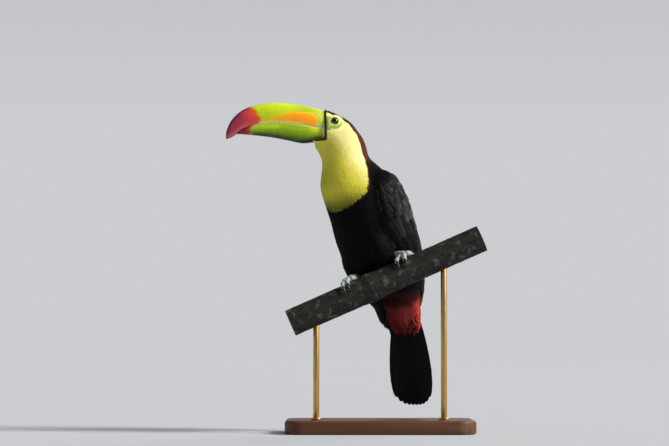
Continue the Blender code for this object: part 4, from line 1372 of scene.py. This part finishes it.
for side, name in ((-1, "left"), (1, "right")):
    centre = Vector((EYE_PLACE[0], BILL_MIDLINE + side * EYE_FROM_MIDLINE, EYE_PLACE[2]))
    gaze = Vector((-0.12, side, 0.1)).normalized()
    bm = bmesh.new()
    bmesh.ops.create_uvsphere(bm, u_segments=72, v_segments=48, radius=EYE_RADIUS)
    for vertex in bm.verts:
        out = math.hypot(vertex.co.x, vertex.co.y)
        if vertex.co.z > 0 and out < CORNEA_RADIUS:
            vertex.co.z += CORNEA_BULGE * (1 - (out / CORNEA_RADIUS) ** 2)
    disc = np.array([(*v.co,) for v in bm.verts])
    out = np.hypot(disc[:, 0], disc[:, 1])
    spoke = np.arctan2(disc[:, 1], disc[:, 0])
    turn = gaze.to_track_quat("Z", "Y").to_matrix()
    bmesh.ops.transform(bm, matrix=turn.to_4x4(), verts=bm.verts)
    bmesh.ops.translate(bm, vec=centre, verts=bm.verts)
    mesh = mesh_of("eye", bm)
    front = disc[:, 2] > 0
    colour = all_over("#1A1208", disc)
    fibres = 0.5 + 0.25 * np.sin(31 * spoke) + 0.25 * np.sin(47 * spoke + 1)
    colour = dye(colour, "#4A3814", front * smooth_step(out, 4.9 * MM, 4.3 * MM))
    colour = dye(colour, "#241709", front * fibres * smooth_step(out, 4.7 * MM, 4.0 * MM) * 0.7)
    colour = dye(colour, "#241808", front * smooth_step(out, 3.6 * MM, 2.6 * MM) * 0.7)
    colour = dye(colour, "#020202", front * smooth_step(out, 2.75 * MM, 2.5 * MM))
    paint(mesh, colour)
    show("eyeball_" + name, mesh, [wet_eye], "eye", "eye_" + name, sharp=0)

    # Eyelids: a soft raised ring of bare lime-white skin round the eye, wrinkled across
    upright = Vector((0, 0, 1))
    upright = (upright - gaze * upright.dot(gaze)).normalized()
    ahead = gaze.cross(upright)
    margin = centre + gaze * LID_FROM_CENTRE

    def lid_point(u, v):
        points = []
        for a, row in zip(2 * math.pi * u, v * (len(LID_PROFILE) - 1)):
            reach, rise = between(LID_PROFILE, np.array((row,)))[0] * MM
            way = ahead * (math.cos(a) * 1.06) + upright * (math.sin(a) * 0.95)
            spot = margin + way * reach
            ray = skin_tree.ray_cast(spot + gaze * 15 * MM, -gaze)[0]
            level = (ray - margin).dot(gaze) if ray else 0.0
            settled = float(smooth_step(np.array(reach), 5.4 * MM, 8.0 * MM))
            fold = math.sin(a * 34 + 3 * math.sin(3 * a))
            fold = 0.1 * MM * fold * math.sin(math.pi * min(1, max(0, row / 6)))
            points.append(spot + gaze * (level * settled + rise + fold))
        return points

    mesh = mesh_of("lids", shaped(across=144, along=24, place=lid_point, filled=False))
    places = coordinates(mesh)
    out = np.linalg.norm((places - np.array(centre))[:, (0, 2)], axis=1)
    colour = all_over("#DDEB8C", places)
    colour = dye(colour, "#EEF5A8", smooth_step(out, 6.8 * MM, 5.8 * MM) * 0.8)
    colour = dye(colour, "#2A2A14", smooth_step(out, 5.15 * MM, 4.95 * MM) * 0.9)
    skirt = face_colour(places)
    colour += (skirt - colour) * smooth_step(out, 6.9 * MM, 8.0 * MM)[:, None]
    paint(mesh, colour)
    show("eyelids_" + name, mesh, [bare_skin], "face_skin", sharp=0)

# Legs. A scaled shank and four toes, two before and two behind, gripping the branch. Broad plates
# cover the front of the shank and the top of each toe, and soft pads its sole.

FOOT_ANGLE, TOE_ROOT = 2, 9
TOE_RADIUS = 3.3
# Each toe's name, the angle of its end round the branch, its skew along it, and its splay
TOES = (
    ("inner_front", 42, -10, -4.5),
    ("outer_front", 48, -8, 4.5),
    ("outer_back", -74, 7, 4),
    ("inner_back", -64, 5, -4),
)
# Each foot's side, its place along the branch, its outer side, and its heel's place on the body
FEET = (("left", 37, 1, (3.35, 58)), ("right", -43, -1, (2.7, -26)))
GAP = 0.3 * MM


def scaled_tube(path, radius, outward, plates):
    """A limb round a path, with so many plates along its outer side, and rounded ends."""

    def place(u, v):
        share = np.clip(v, 0, 1)
        middle = path(share)
        along = unit(path(np.clip(share + 0.01, 0, 1)) - path(np.clip(share - 0.01, 0, 1)))
        out = outward(share)
        out = unit(out - along * (along * out).sum(1, keepdims=True))
        aside = np.cross(along, out)
        turn = 2 * math.pi * u
        end = np.clip(1 - np.minimum(share, 1 - share) / 0.07, 0, 1)
        end = np.sqrt(np.clip(1 - end**2, 0.0004, 1))
        plate = 0.1 * (1 - np.mod(share * plates, 1) ** 1.5) - 0.05
        plate *= smooth_step(np.cos(turn), -0.1, 0.45)
        sole = 0.05 * np.cos(share * 6 * math.pi) * smooth_step(np.cos(turn), 0.2, -0.6)
        size = radius(share) * end * (1 + plate + sole)
        rise, flank = size * np.cos(turn), size * np.sin(turn)
        return middle + out * rise[:, None] + aside * flank[:, None]

    return place


# Scaled leg skin: pale slate-grey plates like thin horn, with darker seams between them, dusty and
# mottled, with a grit under 1 mm apart.
leg_skin = folded(
    "scaled leg skin",
    folds=1300,
    depth=0.12 * MM,
    patches=420,
    low=0.75,
    high=1.2,
    Roughness=0.48,
)

# Claw horn: dark grey-brown keratin with a dull shine and paler worn patches.
claw_horn = mottled(
    "claw horn", patches=700, dark="#141214", pale="#3A3531", depth=0.1 * MM, Roughness=0.36
)


def toe_radius(share):
    """A toe's radius at shares of its length, which swells at each joint."""
    return TOE_RADIUS * (1.12 - 0.34 * share + 0.07 * np.cos(6 * math.pi * share)) * MM


for side, foot, sign, heel_place in FEET:
    foot = foot * MM
    built = bmesh.new()
    tints, limbs = [], []
    heel = round_body(np.array((heel_place[0],)), np.array((heel_place[1],)), -15 * MM)[0]
    above = perch_radius(foot) + 1.25 * TOE_RADIUS * MM + GAP
    ball = perch_point(np.array(foot), np.array(FOOT_ANGLE), np.array(above))
    limbs.append(
        (
            lambda share: ball + (heel - ball) * share[:, None],
            lambda share: np.interp(share, (0, 0.25, 0.5, 0.75, 1), (4.1, 3.6, 3.4, 3.7, 4.4)) * MM,
            lambda share: np.tile(np.array((0.0, -1, 0.3)), (len(share), 1)),
            9,
        )
    )
    for name, end_angle, skew, splay in TOES:
        shift = (skew + splay * sign) * MM
        start = FOOT_ANGLE - math.copysign(TOE_ROOT, end_angle)

        def toe_path(share, start=start, end_angle=end_angle, shift=shift):
            angle = start + (end_angle - start) * share
            along = foot + shift * (0.1 + 0.9 * np.sin(share * math.pi / 2))
            return perch_point(along, angle, perch_radius(along) + toe_radius(share) + GAP)

        def toe_out(share, start=start, end_angle=end_angle):
            angle = start + (end_angle - start) * share
            return perch_point(angle * 0, angle, angle * 0 + 1) - PERCH_MIDDLE

        limbs.append((toe_path, toe_radius, toe_out, 8))

        def claw_path(share):
            angle = end_angle + math.copysign(1, end_angle) * (-2 + 29 * share)
            size = (0.35 + 2.1 * (1 - share) ** 0.8) * MM
            rise = 1.5 * np.sin(math.pi * share**0.8) * MM
            along = foot + shift
            height = perch_radius(np.array(along)) + size + 2 * GAP + rise
            return perch_point(angle * 0 + along, angle, height)

        def claw_point(u, v):
            middle = claw_path(v)
            tangent = unit(claw_path(np.clip(v + 0.01, 0, 1)) - claw_path(np.clip(v - 0.01, 0, 1)))
            flank = np.cross(unit(np.cross(tangent, PERCH_AXIS)), tangent)
            lift = np.cross(tangent, flank)
            size = (0.3 + 2.1 * (1 - v) ** 0.8) * MM
            turn = 2 * math.pi * u
            wide, tall = 0.82 * size * np.cos(turn), size * np.sin(turn)
            return middle + flank * wide[:, None] + lift * tall[:, None]

        talon, claw = shaped(across=20, along=30, place=claw_point), f"claw_{side}_{name}"
        show(f"talon_{side}_{name}", talon, [claw_horn], "claw_horn", claw, sharp=60)

    for path, radius, outward, plates in limbs:
        tube = scaled_tube(path, radius, outward, plates)
        mesh = mesh_of("limb", shaped(across=36, along=110, place=tube))
        places = coordinates(mesh)
        shares = np.linspace(0, 1, 221)
        line = path(shares)
        found = np.linalg.norm(places[:, None] - line, axis=-1).argmin(1)
        out = ((places - line[found]) * outward(shares)[found]).sum(1)
        seam = np.exp(-(((np.mod(shares[found] * plates + 0.08, 1) - 0.08) / 0.1) ** 2))
        colour = all_over("#9AA3A7", places)
        colour = dye(colour, "#5E676C", seam * smooth_step(out, -0.5 * MM, 1 * MM) * 0.85)
        tints.append(dye(colour, "#A8A393", smooth_step(out, -0.8 * MM, -2 * MM) * 0.6))
        built.from_mesh(mesh)
        bpy.data.meshes.remove(mesh)
    mesh = mesh_of("foot", built)
    paint(mesh, np.concatenate(tints))
    show("foot_" + side, mesh, [leg_skin], "scaled_skin", "leg_" + side, sharp=45)

# Studio. A plain pale floor and walls under one broad soft lamp, high in front on the right, with a
# weaker one behind. The walls darken upwards and behind the camera, so that black feathers stay
# black. The camera stands low at the bird's left side and looks up a little.

FLOOR_RADIUS = 60
CAMERA_AT, CAMERA_AIM = Vector((-0.060, -3.02, 0.100)), Vector((-0.060, -0.02, 0.278))

floor, tree, shader = surface(
    "pale matt floor", Roughness=0.9, Specular_IOR_Level=0.1, Base_Color=linear("#BBC0CA")
)
spot = add(tree, "TexCoord", out="Object")
grain = add(tree, "TexNoise", {"Vector": spot, "Scale": 900, "Detail": 2})
dents = add(tree, "Bump", {"Height": grain, "Distance": 0.2 * MM})
feed(shader, Normal=dents)
bm = bmesh.new()
bmesh.ops.create_circle(bm, cap_ends=True, segments=96, radius=FLOOR_RADIUS)
mesh = mesh_of("floor", bm)
ground_disc = bpy.data.objects.new("floor", mesh)
scene = bpy.context.scene
scene.collection.objects.link(ground_disc)
mesh.materials.append(floor)

world = bpy.data.worlds.new("studio")
scene.world = world
world.use_nodes = True
tree = world.node_tree
way = add(tree, "TexCoord", out="Generated")
parts = add(tree, "SeparateXYZ", {"Vector": way}).node.outputs
height = add(tree, "MapRange", {"Value": parts["Z"], "From Min": 0.1, "From Max": 0.5})
wall = add(
    tree, "Mix", {0: height, 6: linear("#CCCDD0"), 7: linear("#7C7E82")}, out=2, data_type="RGBA"
)
front = add(tree, "MapRange", {"Value": parts["Y"], "From Min": -0.15, "From Max": -0.75})
walls = add(tree, "Mix", {0: front, 6: wall, 7: linear("#74767A")}, out=2, data_type="RGBA")
tree.links.new(walls, tree.nodes["Background"].inputs["Color"])

# Each lamp's name, strength, breadth in degrees, and the way it shines
for name, energy, spread, shines in (
    ("broad_lamp", 5.2, 22, (-0.80, 0.32, -0.52)),
    ("rear_lamp", 0.7, 30, (-0.35, -0.75, -0.55)),
):
    lamp = bpy.data.lights.new(name, "SUN")
    lamp.energy = energy
    lamp.angle = math.radians(spread)
    lamp.color = linear("#FFF8EC")[:3]
    holder = bpy.data.objects.new(name, lamp)
    holder.rotation_euler = Vector(shines).to_track_quat("-Z", "Y").to_euler()
    scene.collection.objects.link(holder)

lens = bpy.data.cameras.new("camera")
lens.lens = 122
lens.sensor_width = 36
camera = bpy.data.objects.new("camera", lens)
camera.location = CAMERA_AT
camera.rotation_euler = (CAMERA_AIM - CAMERA_AT).to_track_quat("-Z", "Y").to_euler()
scene.collection.objects.link(camera)
scene.camera = camera
scene.view_settings.view_transform = "Standard"
